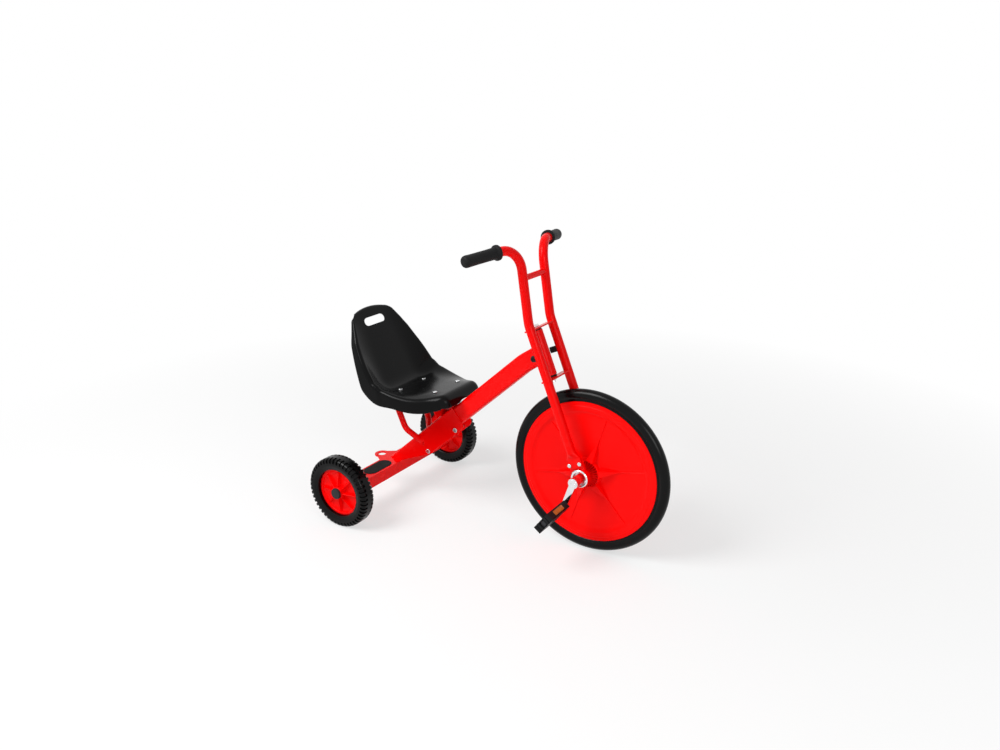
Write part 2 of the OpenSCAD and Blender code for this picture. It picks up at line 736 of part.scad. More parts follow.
module bearing_cap(side) color(chrome) in_fork() sideways(side) translate([0, 0, block_out]) rotate_extrude()
  polygon([
    [bearing_cap_hole_r, 0], [block_r, 0], [block_r, bearing_cap_t - bearing_cap_edge],
    [block_r - bearing_cap_edge, bearing_cap_t], [bearing_cap_hole_r, bearing_cap_t]
  ]);

// Bolts and nuts that clamp the bearing blocks to the fork ends
module at_all_bearing_bolts() in_fork() for (side = [-1, 1], s = [-1, 1])
  translate([s * bearing_bolt_x, 0, bearing_bolt_z]) sideways(side) children();
module bearing_bolts() color(zinc) at_all_bearing_bolts() {
  translate([0, 0, block_in - bearing_nut_h])
    cylinder(r = bearing_bolt_r, h = paddle_in + paddle_t - block_in + bearing_nut_h);
  translate([0, 0, paddle_in + paddle_t]) cylinder(r = bearing_head_r, h = bearing_head_h);
}
module bearing_nuts() color(zinc) at_all_bearing_bolts()
  translate([0, 0, block_in - bearing_nut_h]) nut(bearing_head_r, bearing_nut_h, bearing_bolt_r);

// Ribs of a wheel, from an outline of radius and height
module ribs(count, t) for (i = [0 : count - 1]) rotate([0, 0, i * 360 / count])
  rotate([90, 0, 0]) linear_extrude(t, center = true) children();

// Half outline of a wheel, mirrored to the other side
module both_halves() for (s = [0, 1]) mirror([0, s]) children();

module front_wheel() color(red) at_front_axle() sideways(1) difference() {
  union() {
    rotate_extrude() both_halves() polygon([
      [0, 0], [0, front_hub_half], [front_hub_r, front_hub_half], [front_hub_r, collar_half],
      [collar_out_r, collar_half], [collar_out_r, front_web_half],
      [front_seat_r - front_rim_depth - front_rim_slope, front_web_half],
      [front_seat_r - front_rim_depth, front_rim_half], [front_seat_r, front_rim_half], [front_seat_r, 0]
    ]);
    rotate([0, 0, -front_rib_turn]) ribs(front_rib_count, front_rib_t) polygon([
      [front_hub_r / 2, -front_rib_half], [front_hub_r / 2, front_rib_half], [collar_out_r, front_rib_half],
      [front_rib_out_r, 0], [collar_out_r, -front_rib_half]
    ]);
  }
  cylinder(r = crank_axle_r + seat_gap, h = 2 * front_hub_half + 2 * overrun, center = true);
}

module front_tyre() color(black) at_front_axle() sideways(1) rotate_extrude() {
  translate([front_tyre_r - front_tyre_half, 0]) circle(r = front_tyre_half);
  translate([front_seat_r + seat_gap, -front_tyre_half * tyre_seat_share])
    square([front_tyre_r - front_tyre_half - front_seat_r - seat_gap, 2 * front_tyre_half * tyre_seat_share]);
}

module crank_axle() color(zinc) at_front_axle() rotate([90, 0, 0])
  cylinder(r = crank_axle_r, h = 2 * (crank_out - crank_cap_inset - seat_gap), center = true);

module crank_spacer(side) color(red) at_front_axle() sideways(side)
  translate([0, 0, block_out - bearing_inset + side_gap])
    sleeve(spacer_r, crank_axle_r + seat_gap, crank_in - block_out + bearing_inset - side_gap);

// Crank with a boss on the axle and an eye for the pedal spindle
module crank(side) color(chrome) difference() {
  union() {
    at_front_axle() sideways(side) translate([0, 0, crank_in]) cylinder(r = crank_boss_r, h = crank_t);
    at_crank_end(side) sideways(side) translate([0, 0, crank_in]) cylinder(r = crank_eye_r, h = crank_t);
    at_front_axle() rotate([0, crank_back, 0]) translate([0, side * (crank_in + crank_t / 2), 0])
      rotate([90, 0, 0]) linear_extrude(crank_arm_t, center = true) polygon([
        [-crank_arm_root, 0], [crank_arm_root, 0],
        [crank_arm_tip, side * crank_len], [-crank_arm_tip, side * crank_len]
      ]);
  }
  at_front_axle() sideways(side) {
    cylinder(r = crank_axle_r + seat_gap, h = crank_out + overrun);
    translate([0, 0, crank_out - crank_cap_inset]) cylinder(r = crank_cap_r + seat_gap, h = crank_t);
  }
  at_crank_end(side) sideways(side) cylinder(r = spindle_r + seat_gap, h = crank_out + overrun);
}

module crank_cap(side) color(chrome) at_front_axle() sideways(side)
  translate([0, 0, crank_out - crank_cap_inset]) difference() {
    cylinder(r = crank_cap_r, h = crank_cap_t);
    for (s = [-1, 1]) translate([s * spanner_x, 0, crank_cap_t / 2]) cylinder(r = spanner_r, h = crank_cap_t);
  }

module pedal_spindle(side) color(zinc) at_crank_end(side) sideways(side) {
  translate([0, 0, crank_in]) cylinder(r = spindle_r, h = spindle_end - crank_in);
  translate([0, 0, crank_out]) cylinder(r = spindle_head_r, h = pedal_gap - side_gap);
  translate([0, 0, spindle_end]) cylinder(r = spindle_head_r, h = spindle_head_t);
}

// Frame of a pedal: X across it, Y along its thickness, Z along its spindle away from the wheel
module in_pedal(side) at_crank_end(side) rotate([0, -pedal_tilt, 0]) sideways(side)
  translate([0, 0, pedal_in]) children();

module pedal(side) color(black) in_pedal(side) difference() {
  union() {
    rotate([90, 0, 0]) linear_extrude(pedal_t, center = true) difference() {
      pedal_outline();
      for (s = [-1, 1]) translate([s * pedal_window_x, pedal_len / 2])
        square([pedal_window_w, pedal_len - 2 * pedal_end_t], center = true);
    }
    translate([0, 0, pedal_tooth]) cylinder(r = pedal_barrel_r, h = pedal_len - 2 * pedal_tooth);
  }
  translate([0, 0, -overrun]) cylinder(r = spindle_r + running_gap, h = pedal_len + 2 * overrun);
  translate([0, 0, pedal_len - spindle_sink]) cylinder(r = spindle_head_r + running_gap, h = spindle_sink + overrun);
  at_reflectors() translate([0, 0, reflector_t / 2])
    cube([reflector_len + 2 * seat_gap, reflector_h + 2 * seat_gap, reflector_t], center = true);
}

// Places of the reflectors in the long edges of a pedal, pointing outwards
module at_reflectors() for (s = [-1, 1])
  translate([s * (pedal_w / 2 - reflector_t + reflector_proud), 0, pedal_len / 2])
    rotate([0, s * 90, 0]) children();

// Pedal seen along its thickness, with teeth on both ends
module pedal_outline() {
  translate([-pedal_w / 2, pedal_tooth]) square([pedal_w, pedal_len - 2 * pedal_tooth]);
  pitch = pedal_w / pedal_teeth;
  for (i = [0 : pedal_teeth - 1]) translate([(i + 1 / 2 - pedal_teeth / 2) * pitch, 0]) polygon([
    [-pitch / 2, pedal_tooth], [-pitch / 4, 0], [pitch / 4, 0], [pitch / 2, pedal_tooth],
    [pitch / 2, pedal_len - pedal_tooth], [pitch / 4, pedal_len], [-pitch / 4, pedal_len],
    [-pitch / 2, pedal_len - pedal_tooth]
  ]);
}

module reflectors(side) color(amber) in_pedal(side) at_reflectors()
  translate([0, 0, reflector_t / 2]) cube([reflector_len, reflector_h, reflector_t], center = true);

module at_rear_wheel(side) at_rear_axle() translate([0, side * half_track, 0]) sideways(side) children();

module rear_wheel(side) color(red) at_rear_wheel(side) difference() {
  union() {
    rotate_extrude() both_halves() polygon([
      [0, 0], [0, rear_hub_half], [rear_hub_r, rear_hub_half], [rear_hub_r, rear_web_half],
      [rear_seat_r - rear_rim_depth, rear_web_half], [rear_seat_r - rear_rim_depth, rear_rim_half],
      [rear_seat_r, rear_rim_half], [rear_seat_r, 0]
    ]);
    ribs(rear_rib_count, rear_rib_t) polygon([
      [rear_rib_in_r, -rear_rib_half], [rear_rib_in_r, rear_rib_half],
      [rear_rib_out_r, rear_rib_end_half], [rear_rib_out_r, -rear_rib_end_half]
    ]);
  }
  cylinder(r = axle_r + running_gap, h = 2 * rear_hub_half + 2 * overrun, center = true);
}

module rear_tyre(side) color(black) at_rear_wheel(side) rotate_extrude()
  translate([(rear_tyre_r + rear_seat_r + seat_gap) / 2, 0])
    rounded(rear_tyre_r - rear_seat_r - seat_gap, 2 * rear_tyre_half, rear_tyre_corner_r);

module hub_cap(side) color(black) at_rear_wheel(side) translate([0, 0, rear_hub_half]) difference() {
  cylinder(r = cap_r, h = cap_h);
  translate([0, 0, -overrun]) cylinder(r = cap_r - cap_wall, h = cap_h - cap_wall + overrun);
}

// Seat shell: stations along the middle of the seat, from the lip (0), its top (1), the start (2) and the
// end (3) of the hip bend, to the end of the back (4) and of its rolled edge (5)
lip_straight_share = 0.3;
seat_turn = 90 - back_lean + seat_rise;
crown_turn = 150;
roll_r = 8;
pan_flat_share = 0.48;
crown_thin_share = 0.5;
pan_end = screw_pitch + lip_run;
hip_end = [-hip_r * sin(seat_turn), hip_r * (1 - cos(seat_turn))];
back_end = hip_end + back_len * [-cos(seat_turn), sin(seat_turn)];
crown_centre = back_end - crown_r * [sin(seat_turn), cos(seat_turn)];
crown_half_share = 0.59;
crown_blend_share = 0.6;
notch_gap = 3;
notch_run = 16;
crown_half = seat_half_w * crown_half_share;

// Heading of the seat's surface at a station: the angle of its outward normal from upright, towards the front
function seat_lean(k) =
  k < lip_straight_share ? 90 :
  k < 1 ? 90 * (1 - k) / (1 - lip_straight_share) :
  k < 2 ? 0 :
  k < 3 ? (k - 2) * seat_turn :
  k < 4 ? seat_turn :
  seat_turn - (k - 4) * crown_turn;
function seat_normal(k) = [sin(seat_lean(k)), cos(seat_lean(k))];
function seat_middle(k) =
  k < lip_straight_share ? [pan_end + lip_r, -lip_r - lip_drop * (1 - k / lip_straight_share)] :
  k < 1 ? [pan_end, -lip_r] + lip_r * seat_normal(k) :
  k < 2 ? [pan_end * (2 - k), 0] :
  k < 3 ? [0, hip_r] - hip_r * seat_normal(k) :
  k < 4 ? hip_end + (k - 3) * (back_end - hip_end) :
  crown_centre + crown_r * seat_normal(k);

// Shares along the stations: half width, height of the rim, depth of the skirt and thickness
width_shares = [
  [0, 0.6], [0.3, 0.6], [0.7, 0.61], [1, 0.63], [1.1, 0.67], [1.37, 0.84], [1.55, 0.91], [1.8, 0.97],
  [2.2, 1], [3, 1], [3.27, 0.96], [3.48, 0.88], [3.65, 0.81], [3.79, 0.74], [3.94, 0.66], [4, 0.59],
  [4.4, 0.49], [5, 0.42]
];
rise_shares = [
  [0, 0], [1, 0], [1.25, -0.2], [1.5, -0.1], [1.8, 0.35], [2, 0.8], [2.5, 1], [2.8, 0.97], [3, 0.86],
  [3.15, 0.66], [3.3, 0.48], [3.5, 0.31], [3.84, 0.2], [4, 0.05], [5, 0]
];
skirt_shares = [
  [1, 0.465], [1.2, 0.57], [1.5, 0.65], [1.8, 0.71], [2, 0.97], [2.5, 1], [3, 0.96],
  [3.27, 0.6], [3.65, 0.36], [3.85, 0.27], [3.97, 0.12], [4, 0.08], [5, 0.06]
];
roll_shares = [[1, 2.75], [1.2, 2.25], [1.5, 1.4], [1.8, 1.1], [2, 1], [3.85, 1], [4, 0.45], [5, 0.4]];
roll_starts = [[1.2, 90], [1.8, 120]];
arch_shares = [[3.6, 0], [4, 1]];
thick_shares = [[0, 1], [3.88, 1], [4, crown_thin_share], [5, crown_thin_share]];
ease_share = 0.1;
function eased(k, shares) =
  (lookup(k - ease_share, shares) + 2 * lookup(k, shares) + lookup(k + ease_share, shares)) / 4;

// Half section across the seat at a station: the pan with its rising side, the rolled rim and the skirt
pan_steps = 7;
roll_steps = 4;
function half_section(k) = let (
  w = seat_half_w * eased(k, width_shares),
  rise = wall_rise * eased(k, rise_shares),
  r = roll_r * lookup(k, roll_shares),
  mid = [w - r, rise - r],
  start = lookup(k, roll_starts),
  inner = mid + r * [cos(start), sin(start)]
) concat(
  [for (i = [0 : pan_steps - 1]) let (t = i / pan_steps)
    [t * inner[0], inner[1] * pow(max(0, t - pan_flat_share) / (1 - pan_flat_share), 2)]],
  [for (i = [0 : roll_steps]) let (a = start * (1 - i / roll_steps)) mid + r * [cos(a), sin(a)]],
  [mid + [r, -skirt_drop * lookup(k, skirt_shares)]]
);
function whole_section(k) = let (half = half_section(k), n = len(half)) concat(
  [for (i = [n - 1 : -1 : 1]) [-half[i][0], half[i][1]]], half
);
// The same section moved inwards by the thickness of the shell
function inner_section(s, t) = [for (i = [0 : len(s) - 1]) let (
  d = s[min(i + 1, len(s) - 1)] - s[max(i - 1, 0)],
  n = d / norm(d)
) s[i] + t * [n[1], -n[0]]];
// Section put in its place on the seat. The top edge falls towards its corners, where its rolled edge gets
// smaller. The lip has a notch over the beam, and its skirt hangs down to the depth of the front corners
function notch_share(y) = (1 - cos(180 * min(1, max(0, (abs(y) - beam_w / 2 - notch_gap) / notch_run)))) / 2;
function place_section(k, s) = let (
  m = seat_middle(k),
  n = seat_normal(k),
  last = len(s) - 1
) [for (i = [0 : last]) let (
  p = k < 1 ? s[max(1, min(last - 1, i))] : s[i],
  c = k > 4 ? back_end + (m - back_end) * (1 - crown_blend_share * pow(p[0] / s[last][0], 4)) : m,
  fall = crown_arch * lookup(k, arch_shares) * pow(p[0] / crown_half, 2),
  notch = k == 0 ? lip_notch * notch_share(p[0]) : 0,
  low = k < 1 && (i == 0 || i == last)
) [
  c[0] + p[1] * n[0] + fall * cos(seat_turn), p[0],
  low ? -corner_low : c[1] + p[1] * n[1] - fall * sin(seat_turn) - notch
]];

seat_stations = concat(
  [0, lip_straight_share], [for (i = [1 : 4]) lip_straight_share + (1 - lip_straight_share) * i / 5],
  [for (i = [0 : 6]) 1 + i / 7], [for (i = [0 : 6]) 2 + i / 7], [for (i = [0 : 9]) 3 + i / 10],
  [for (i = [0 : 5]) 4 + i / 5]
);

module seat_shell() {
  sections = [for (k = seat_stations) whole_section(k)];
  rows = len(seat_stations);
  cols = len(sections[0]);
  under = rows * cols;
  points = concat(
    [for (i = [0 : rows - 1]) each place_section(seat_stations[i], sections[i])],
    [for (i = [0 : rows - 1]) each place_section(seat_stations[i],
      inner_section(sections[i], seat_t * lookup(seat_stations[i], thick_shares)))]
  );
  function at(i, j) = i * cols + j;
  function quad(a, b, c, d) = [[a, b, c], [a, c, d]];
  faces = concat(
    [for (i = [0 : rows - 2], j = [0 : cols - 2])
      each quad(at(i, j), at(i, j + 1), at(i + 1, j + 1), at(i + 1, j))],
    [for (i = [0 : rows - 2], j = [0 : cols - 2])
      each quad(under + at(i, j), under + at(i + 1, j), under + at(i + 1, j + 1), under + at(i, j + 1))],
    [for (i = [0 : rows - 2]) each quad(at(i, 0), at(i + 1, 0), under + at(i + 1, 0), under + at(i, 0))],
    [for (i = [0 : rows - 2])
      each quad(at(i + 1, cols - 1), at(i, cols - 1), under + at(i, cols - 1), under + at(i + 1, cols - 1))],
    [for (j = [0 : cols - 2]) each quad(at(0, j + 1), at(0, j), under + at(0, j), under + at(0, j + 1))],
    [for (j = [0 : cols - 2]) each quad(at(rows - 1, j), at(rows - 1, j + 1),
      under + at(rows - 1, j + 1), under + at(rows - 1, j))]
  );
  polyhedron(points, faces);
}

// Frame of the hand hole: X across the seat, Y up its back, Z towards the rider
module at_hand_hole() let (p = back_end - hand_hole_down * [-cos(seat_turn), sin(seat_turn)])
  translate([p[0], 0, p[1]]) rotate([0, seat_turn, 0]) rotate([0, 0, 90]) children();

module seat() color(black) on_seat() difference() {
  seat_shell();
  at_hand_hole() linear_extrude(4 * seat_t, center = true) {
    square([hand_hole_len - hand_hole_w, hand_hole_w], center = true);
    for (s = [-1, 1]) translate([s * (hand_hole_len - hand_hole_w) / 2, 0]) circle(r = hand_hole_w / 2);
  }
  at_seat_screws() {
    cylinder(r = screw_r + seat_gap, h = 4 * seat_t, center = true);
    translate([0, 0, -spot_depth]) cylinder(r = screw_head_r + side_gap, h = 2 * screw_head_h);
  }
}

main_beam();
head_tube();
upper_bush();
lower_bush();
rear_bracket();
bracket_bolts();
bracket_nuts();
cross_channel();
step_pad(-1);  // right_step_pad
step_pad(1);  // left_step_pad
tow_tab();
seat_support(-1);  // right_seat_support
seat_support(1);  // left_seat_support
seat_bracket();
seat();
seat_screws();
seat_nuts();
rear_axle();
axle_collars();
axle_clips();
fork_tube(-1);  // right_fork_tube
fork_tube(1);  // left_fork_tube
cross_tube();
yoke(upper_yoke_at);  // upper_yoke
yoke(lower_yoke_at);  // lower_yoke
steering_pin();
steering_nut();
grip(-1);  // right_grip
grip(1);  // left_grip
bumper(-1);  // right_bumper
bumper(1);  // left_bumper
bearing_block(-1);  // right_bearing_block
bearing_block(1);  // left_bearing_block
bearing(-1);  // right_bearing
bearing(1);  // left_bearing
bearing_cap(-1);  // right_bearing_cap
bearing_cap(1);  // left_bearing_cap
bearing_bolts();
bearing_nuts();
front_wheel();
front_tyre();
crank_axle();
crank(-1);  // right_crank
crank(1);  // left_crank
crank_spacer(-1);  // right_crank_spacer
crank_spacer(1);  // left_crank_spacer
crank_cap(-1);  // right_crank_cap
crank_cap(1);  // left_crank_cap
pedal_spindle(-1);  // right_pedal_spindle
pedal_spindle(1);  // left_pedal_spindle
pedal(-1);  // right_pedal
pedal(1);  // left_pedal
reflectors(-1);  // right_reflectors
reflectors(1);  // left_reflectors
rear_wheel(-1);  // right_rear_wheel
rear_wheel(1);  // left_rear_wheel
rear_tyre(-1);  // right_rear_tyre
rear_tyre(1);  // left_rear_tyre
hub_cap(-1);  // right_hub_cap
hub_cap(1);  // left_hub_cap
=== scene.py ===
import bpy, bmesh, json
from math import atan2, cos, degrees, pi, radians, sin, sqrt, tan
from mathutils import Matrix, Vector

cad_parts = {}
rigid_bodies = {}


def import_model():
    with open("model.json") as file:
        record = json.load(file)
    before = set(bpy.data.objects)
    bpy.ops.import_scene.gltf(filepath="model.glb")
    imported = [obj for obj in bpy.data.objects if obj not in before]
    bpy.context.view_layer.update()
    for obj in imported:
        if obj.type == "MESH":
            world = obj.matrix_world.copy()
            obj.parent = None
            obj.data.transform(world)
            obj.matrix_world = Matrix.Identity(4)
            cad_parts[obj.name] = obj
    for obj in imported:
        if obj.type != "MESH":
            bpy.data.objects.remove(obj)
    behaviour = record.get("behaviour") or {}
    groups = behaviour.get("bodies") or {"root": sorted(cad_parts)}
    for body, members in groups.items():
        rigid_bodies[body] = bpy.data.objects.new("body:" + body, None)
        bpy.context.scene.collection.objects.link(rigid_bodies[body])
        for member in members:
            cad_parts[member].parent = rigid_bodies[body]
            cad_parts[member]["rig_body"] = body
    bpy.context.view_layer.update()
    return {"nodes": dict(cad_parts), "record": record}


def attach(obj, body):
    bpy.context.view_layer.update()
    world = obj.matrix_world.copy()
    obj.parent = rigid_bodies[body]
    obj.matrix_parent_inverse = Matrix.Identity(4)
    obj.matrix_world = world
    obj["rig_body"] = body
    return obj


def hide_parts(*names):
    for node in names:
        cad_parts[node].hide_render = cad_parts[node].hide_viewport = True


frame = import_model()
scene = bpy.context.scene
MM = 0.001
SIDES = ((-1, "right"), (1, "left"))

# places and sizes that several pieces share, as in the solids (mm, degrees)
FRONT_X, REAR_X = 266.0, -391.0
FRONT_R, REAR_R = 230.0, 105.0
HALF_TRACK = 262.0
RAKE = 22.2
FORK_HALF, TUBE_R = 56.0, 12.5
SEAT_X, SEAT_Z, SEAT_RISE = REAR_X + 62.0, 363.0, 7.2


def shift(x, y, z):
    return Matrix.Translation((x, y, z))


def turned(angle, axis):
    return Matrix.Rotation(radians(angle), 4, axis)


# the fork's frame, with z along its tubes from the middle of the front wheel, and the frame of the seat's pan
FORK = shift(FRONT_X, 0, FRONT_R) @ turned(-RAKE, "Y")
SEAT = shift(SEAT_X, 0, SEAT_Z) @ turned(-SEAT_RISE, "Y")


# materials
MIX_FAC, MIX_A, MIX_B, MIX_OUT = 0, 6, 7, 2  # sockets of a mix node for colours


def new_mat(name):
    m = bpy.data.materials.new(name)
    m.use_nodes = True
    nt = m.node_tree
    return m, nt, nt.nodes["Principled BSDF"]


def math_node(nt, operation, a, b):
    """Result of a math node on two sockets or numbers."""
    n = nt.nodes.new("ShaderNodeMath")
    n.operation = operation
    for sock, v in zip(n.inputs, (a, b)):
        if isinstance(v, (int, float)):
            sock.default_value = v
        else:
            nt.links.new(v, sock)
    return n.outputs[0]


def texture(nt, kind, scale):
    """Texture node on the object's own coordinates."""
    tc = nt.nodes.new("ShaderNodeTexCoord")
    n = nt.nodes.new(kind)
    nt.links.new(tc.outputs["Object"], n.inputs["Vector"])
    n.inputs["Scale"].default_value = scale
    return n


def noise(nt, scale, detail, rough=0.5):
    n = texture(nt, "ShaderNodeTexNoise", scale)
    n.inputs["Detail"].default_value = detail
    n.inputs["Roughness"].default_value = rough
    return n.outputs["Fac"]


def ramp(nt, src, stops):
    """Colour ramp through (position, grey or colour) stops."""
    r = nt.nodes.new("ShaderNodeValToRGB")
    el = r.color_ramp.elements
    while len(el) < len(stops):
        el.new(0.5)
    for e, (p, c) in zip(el, stops):
        e.position = p
        e.color = (c, c, c, 1) if isinstance(c, (int, float)) else (*c, 1)
    nt.links.new(src, r.inputs["Fac"])
    return r.outputs["Color"]


def bump(nt, bsdf, height, strength, distance):
    b = nt.nodes.new("ShaderNodeBump")
    b.inputs["Strength"].default_value = strength
    b.inputs["Distance"].default_value = distance
    nt.links.new(height, b.inputs["Height"])
    nt.links.new(b.outputs["Normal"], bsdf.inputs["Normal"])


def edge_wear(nt, amount):
    """Up to amount on sharp convex edges, broken up by noise."""
    g = nt.nodes.new("ShaderNodeNewGeometry")
    edges = ramp(nt, g.outputs["Pointiness"], [(0.52, 0.0), (0.60, 1.0)])
    spots = ramp(nt, noise(nt, scale=60, detail=6, rough=0.7), [(0.45, 0.0), (0.62, 1.0)])
    return math_node(nt, "MULTIPLY", math_node(nt, "MULTIPLY", edges, spots), amount)


def mix_color(nt, fac, color, other):
    m = nt.nodes.new("ShaderNodeMix")
    m.data_type = "RGBA"
    nt.links.new(fac, m.inputs[MIX_FAC])
    nt.links.new(color, m.inputs[MIX_A])
    m.inputs[MIX_B].default_value = (*other, 1)
    return m.outputs[MIX_OUT]


def painted(name, low, high, rough, peel_scale, peel, shine, wear=None):
    """Coloured finish with slow colour drift, uneven gloss and a fine orange peel."""
    m, nt, b = new_mat(name)
    color = ramp(nt, noise(nt, scale=7, detail=3), [(0.3, low), (0.7, high)])
    if wear:
        share, worn = wear
        color = mix_color(nt, edge_wear(nt, share), color, worn)
    nt.links.new(color, b.inputs["Base Color"])
    gloss = ramp(nt, noise(nt, scale=22, detail=5, rough=0.6), [(0.3, rough[0]), (0.75, rough[1])])
    nt.links.new(gloss, b.inputs["Roughness"])
    b.inputs["Specular IOR Level"].default_value = shine
    bump(nt, b, noise(nt, peel_scale, detail=2), strength=peel, distance=0.0004)
    return m


def metal(name, color, rough, grain=0.0):
    """Bare metal with patches a little darker, uneven gloss and, where asked for, a fine grain."""
    m, nt, b = new_mat(name)
    b.inputs["Metallic"].default_value = 1.0
    dull = tuple(c * 0.9 for c in color)
    patches = ramp(nt, noise(nt, scale=40, detail=5, rough=0.6), [(0.3, dull), (0.7, color)])
    nt.links.new(patches, b.inputs["Base Color"])
    gloss = ramp(nt, noise(nt, scale=90, detail=4, rough=0.7), [(0.3, rough[0]), (0.75, rough[1])])
    nt.links.new(gloss, b.inputs["Roughness"])
    if grain:
        bump(nt, b, noise(nt, scale=700, detail=2), strength=grain, distance=0.0002)
    return m


def reflector(name, low, high):
    """Clear-coated plastic with small cells."""
    m, nt, b = new_mat(name)
    nt.links.new(ramp(nt, noise(nt, scale=120, detail=3), [(0.3, low), (0.7, high)]), b.inputs["Base Color"])
    nt.links.new(ramp(nt, noise(nt, scale=60, detail=3), [(0.3, 0.10), (0.7, 0.2)]), b.inputs["Roughness"])
    b.inputs["Coat Weight"].default_value = 0.5
    cells = texture(nt, "ShaderNodeTexVoronoi", scale=520)
    bump(nt, b, cells.outputs["Distance"], strength=0.5, distance=0.0008)
    return m


MAT = {
    "red_paint": painted(
        "red_powder_coat", (0.90, 0.0006, 0.0006), (0.96, 0.0010, 0.0009), rough=(0.20, 0.30),
        peel_scale=900, peel=0.03, shine=0.10, wear=(0.10, (0.55, 0.006, 0.006))),
    "wheel_plastic": painted(
        "red_moulded_plastic", (0.92, 0.0006, 0.0005), (0.98, 0.0012, 0.0009), rough=(0.28, 0.42),
        peel_scale=420, peel=0.05, shine=0.08),
    "seat_plastic": painted(
        "black_seat_plastic", (0.0008, 0.0009, 0.0010), (0.0016, 0.0017, 0.0019), rough=(0.20, 0.26),
        peel_scale=900, peel=0.006, shine=0.115),
    "tyre": painted(
        "tyre_rubber", (0.0009, 0.0009, 0.0010), (0.0020, 0.0020, 0.0022), rough=(0.18, 0.26),
        peel_scale=1200, peel=0.03, shine=0.14),
    "black_rubber": painted(
        "grip_rubber", (0.0065, 0.0065, 0.0068), (0.011, 0.011, 0.0115), rough=(0.50, 0.66),
        peel_scale=1800, peel=0.22, shine=0.12),
    "pad_grip": painted(
        "step_pad_grit", (0.006, 0.006, 0.006), (0.015, 0.015, 0.015), rough=(0.70, 0.9),
        peel_scale=1400, peel=0.9, shine=0.12),
    "black_plastic": painted(
        "bush_plastic", (0.004, 0.004, 0.004), (0.008, 0.008, 0.008), rough=(0.35, 0.5),
        peel_scale=900, peel=0.1, shine=0.12),
    "cap_plastic": painted(
        "cap_plastic", (0.016, 0.016, 0.018), (0.026, 0.026, 0.029), rough=(0.42, 0.58),
        peel_scale=1300, peel=0.18, shine=0.2),
    "pedal_plastic": painted(
        "pedal_plastic", (0.003, 0.003, 0.0034), (0.006, 0.006, 0.0066), rough=(0.30, 0.46),
        peel_scale=1200, peel=0.14, shine=0.14),
    "chrome": metal("polished_chrome", (0.82, 0.83, 0.85), rough=(0.05, 0.11)),
    "zinc": metal("zinc_plate", (0.72, 0.73, 0.74), rough=(0.18, 0.34), grain=0.15),
    "amber": reflector("amber_reflector", (0.36, 0.085, 0.004), (0.48, 0.13, 0.008)),
}
SPINDLE = metal("oiled_steel", (0.055, 0.055, 0.06), rough=(0.35, 0.5), grain=0.1)

SLOT = {s["node"]: s["material_slot"] for s in frame["record"]["subparts"]}
for name, o in frame["nodes"].items():
    o.data.materials.clear()
    o.data.materials.append(MAT[SLOT[name]])


# mesh helpers: a form is (verts, faces) in mm
def mesh_object(name, form, mat, body, *nodes, matrix=None, angle=40):
    """Smooth object from a form, in place of CAD nodes. Edges over the angle stay sharp; at 0 none does."""
    verts, faces = form
    place = Matrix.Identity(4) if matrix is None else matrix
    me = bpy.data.meshes.new(name)
    me.from_pydata([tuple((place @ Vector(v)) * MM) for v in verts], [], faces)
    bm = bmesh.new()
    bm.from_mesh(me)
    bmesh.ops.recalc_face_normals(bm, faces=bm.faces)
    bm.to_mesh(me)
    bm.free()
    o = bpy.data.objects.new(name, me)
    scene.collection.objects.link(o)
    me.materials.append(MAT[mat])
    for p in me.polygons:
        p.use_smooth = True
    if angle:
        me.set_sharp_from_angle(angle=radians(angle))
    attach(o, body)
    if nodes:
        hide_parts(*nodes)
    return o


def revolve(profile, steps, closed=False):
    """Turns (radius, height) points about Z. A point on the axis becomes a pole."""
    verts, faces, rows = [], [], []
    for r, h in profile:
        first = len(verts)
        if r < 1e-6:
            verts.append((0, 0, h))
        else:
            verts += [(x, y, h) for x, y in ring(r, steps)]
        rows.append(range(first, len(verts)))
    pairs = list(zip(rows, rows[1:]))
    if closed:
        pairs.append((rows[-1], rows[0]))
    for p, q in pairs:
        for j in range(steps):
            k = (j + 1) % steps
            if len(p) == 1:
                faces.append((p[0], q[j], q[k]))
            elif len(q) == 1:
                faces.append((p[j], p[k], q[0]))
            else:
                faces.append((p[j], p[k], q[k], q[j]))
    return verts, faces


def join(*forms):
    verts, faces = [], []
    for v, f in forms:
        n = len(verts)
        verts += list(v)
        faces += [tuple(i + n for i in g) for g in f]
    return verts, faces


def moved(form, M):
    v, f = form
    return [tuple(M @ Vector(p)) for p in v], f


def mirrored(half):
    """A profile that starts on the middle plane, followed by its mirror image."""
    return half + [(r, -h) for r, h in reversed(half) if h > 1e-6]


def rib(rows):
    """Strip through rows of points, with both ends closed and its foot open."""
    m, last = len(rows[0]), len(rows) - 1
    faces = [(m * a + j, m * a + j + 1, m * a + j + m + 1, m * a + j + m) for a in range(last) for j in range(m - 1)]
    faces += [tuple(range(m)), tuple(range(m * last, m * last + m))]
    return [p for row in rows for p in row], faces


def arc(cx, cy, r, a0, a1, n):
    """n + 1 points of a circle from angle a0 to a1 in degrees."""
    angles = [radians(a0 + (a1 - a0) * i / n) for i in range(n + 1)]
    return [(cx + r * cos(t), cy + r * sin(t)) for t in angles]


def ring(r, n):
    return [(r * cos(2 * pi * i / n), r * sin(2 * pi * i / n)) for i in range(n)]


def rounded_rect(w, h, r, n):
    x, y = w / 2 - r, h / 2 - r
    pts = []
    for cx, cy, a in ((x, y, 0), (-x, y, 90), (-x, -y, 180), (x, -y, 270)):
        pts += arc(cx, cy, r, a, a + 90, n)
    return pts


# swept tubes: a path is a list of frames with z along the tube
def straight(path, length, steps):
    M = path[-1]
    for i in range(steps):
        path.append(M @ shift(0, 0, length * (i + 1) / steps))


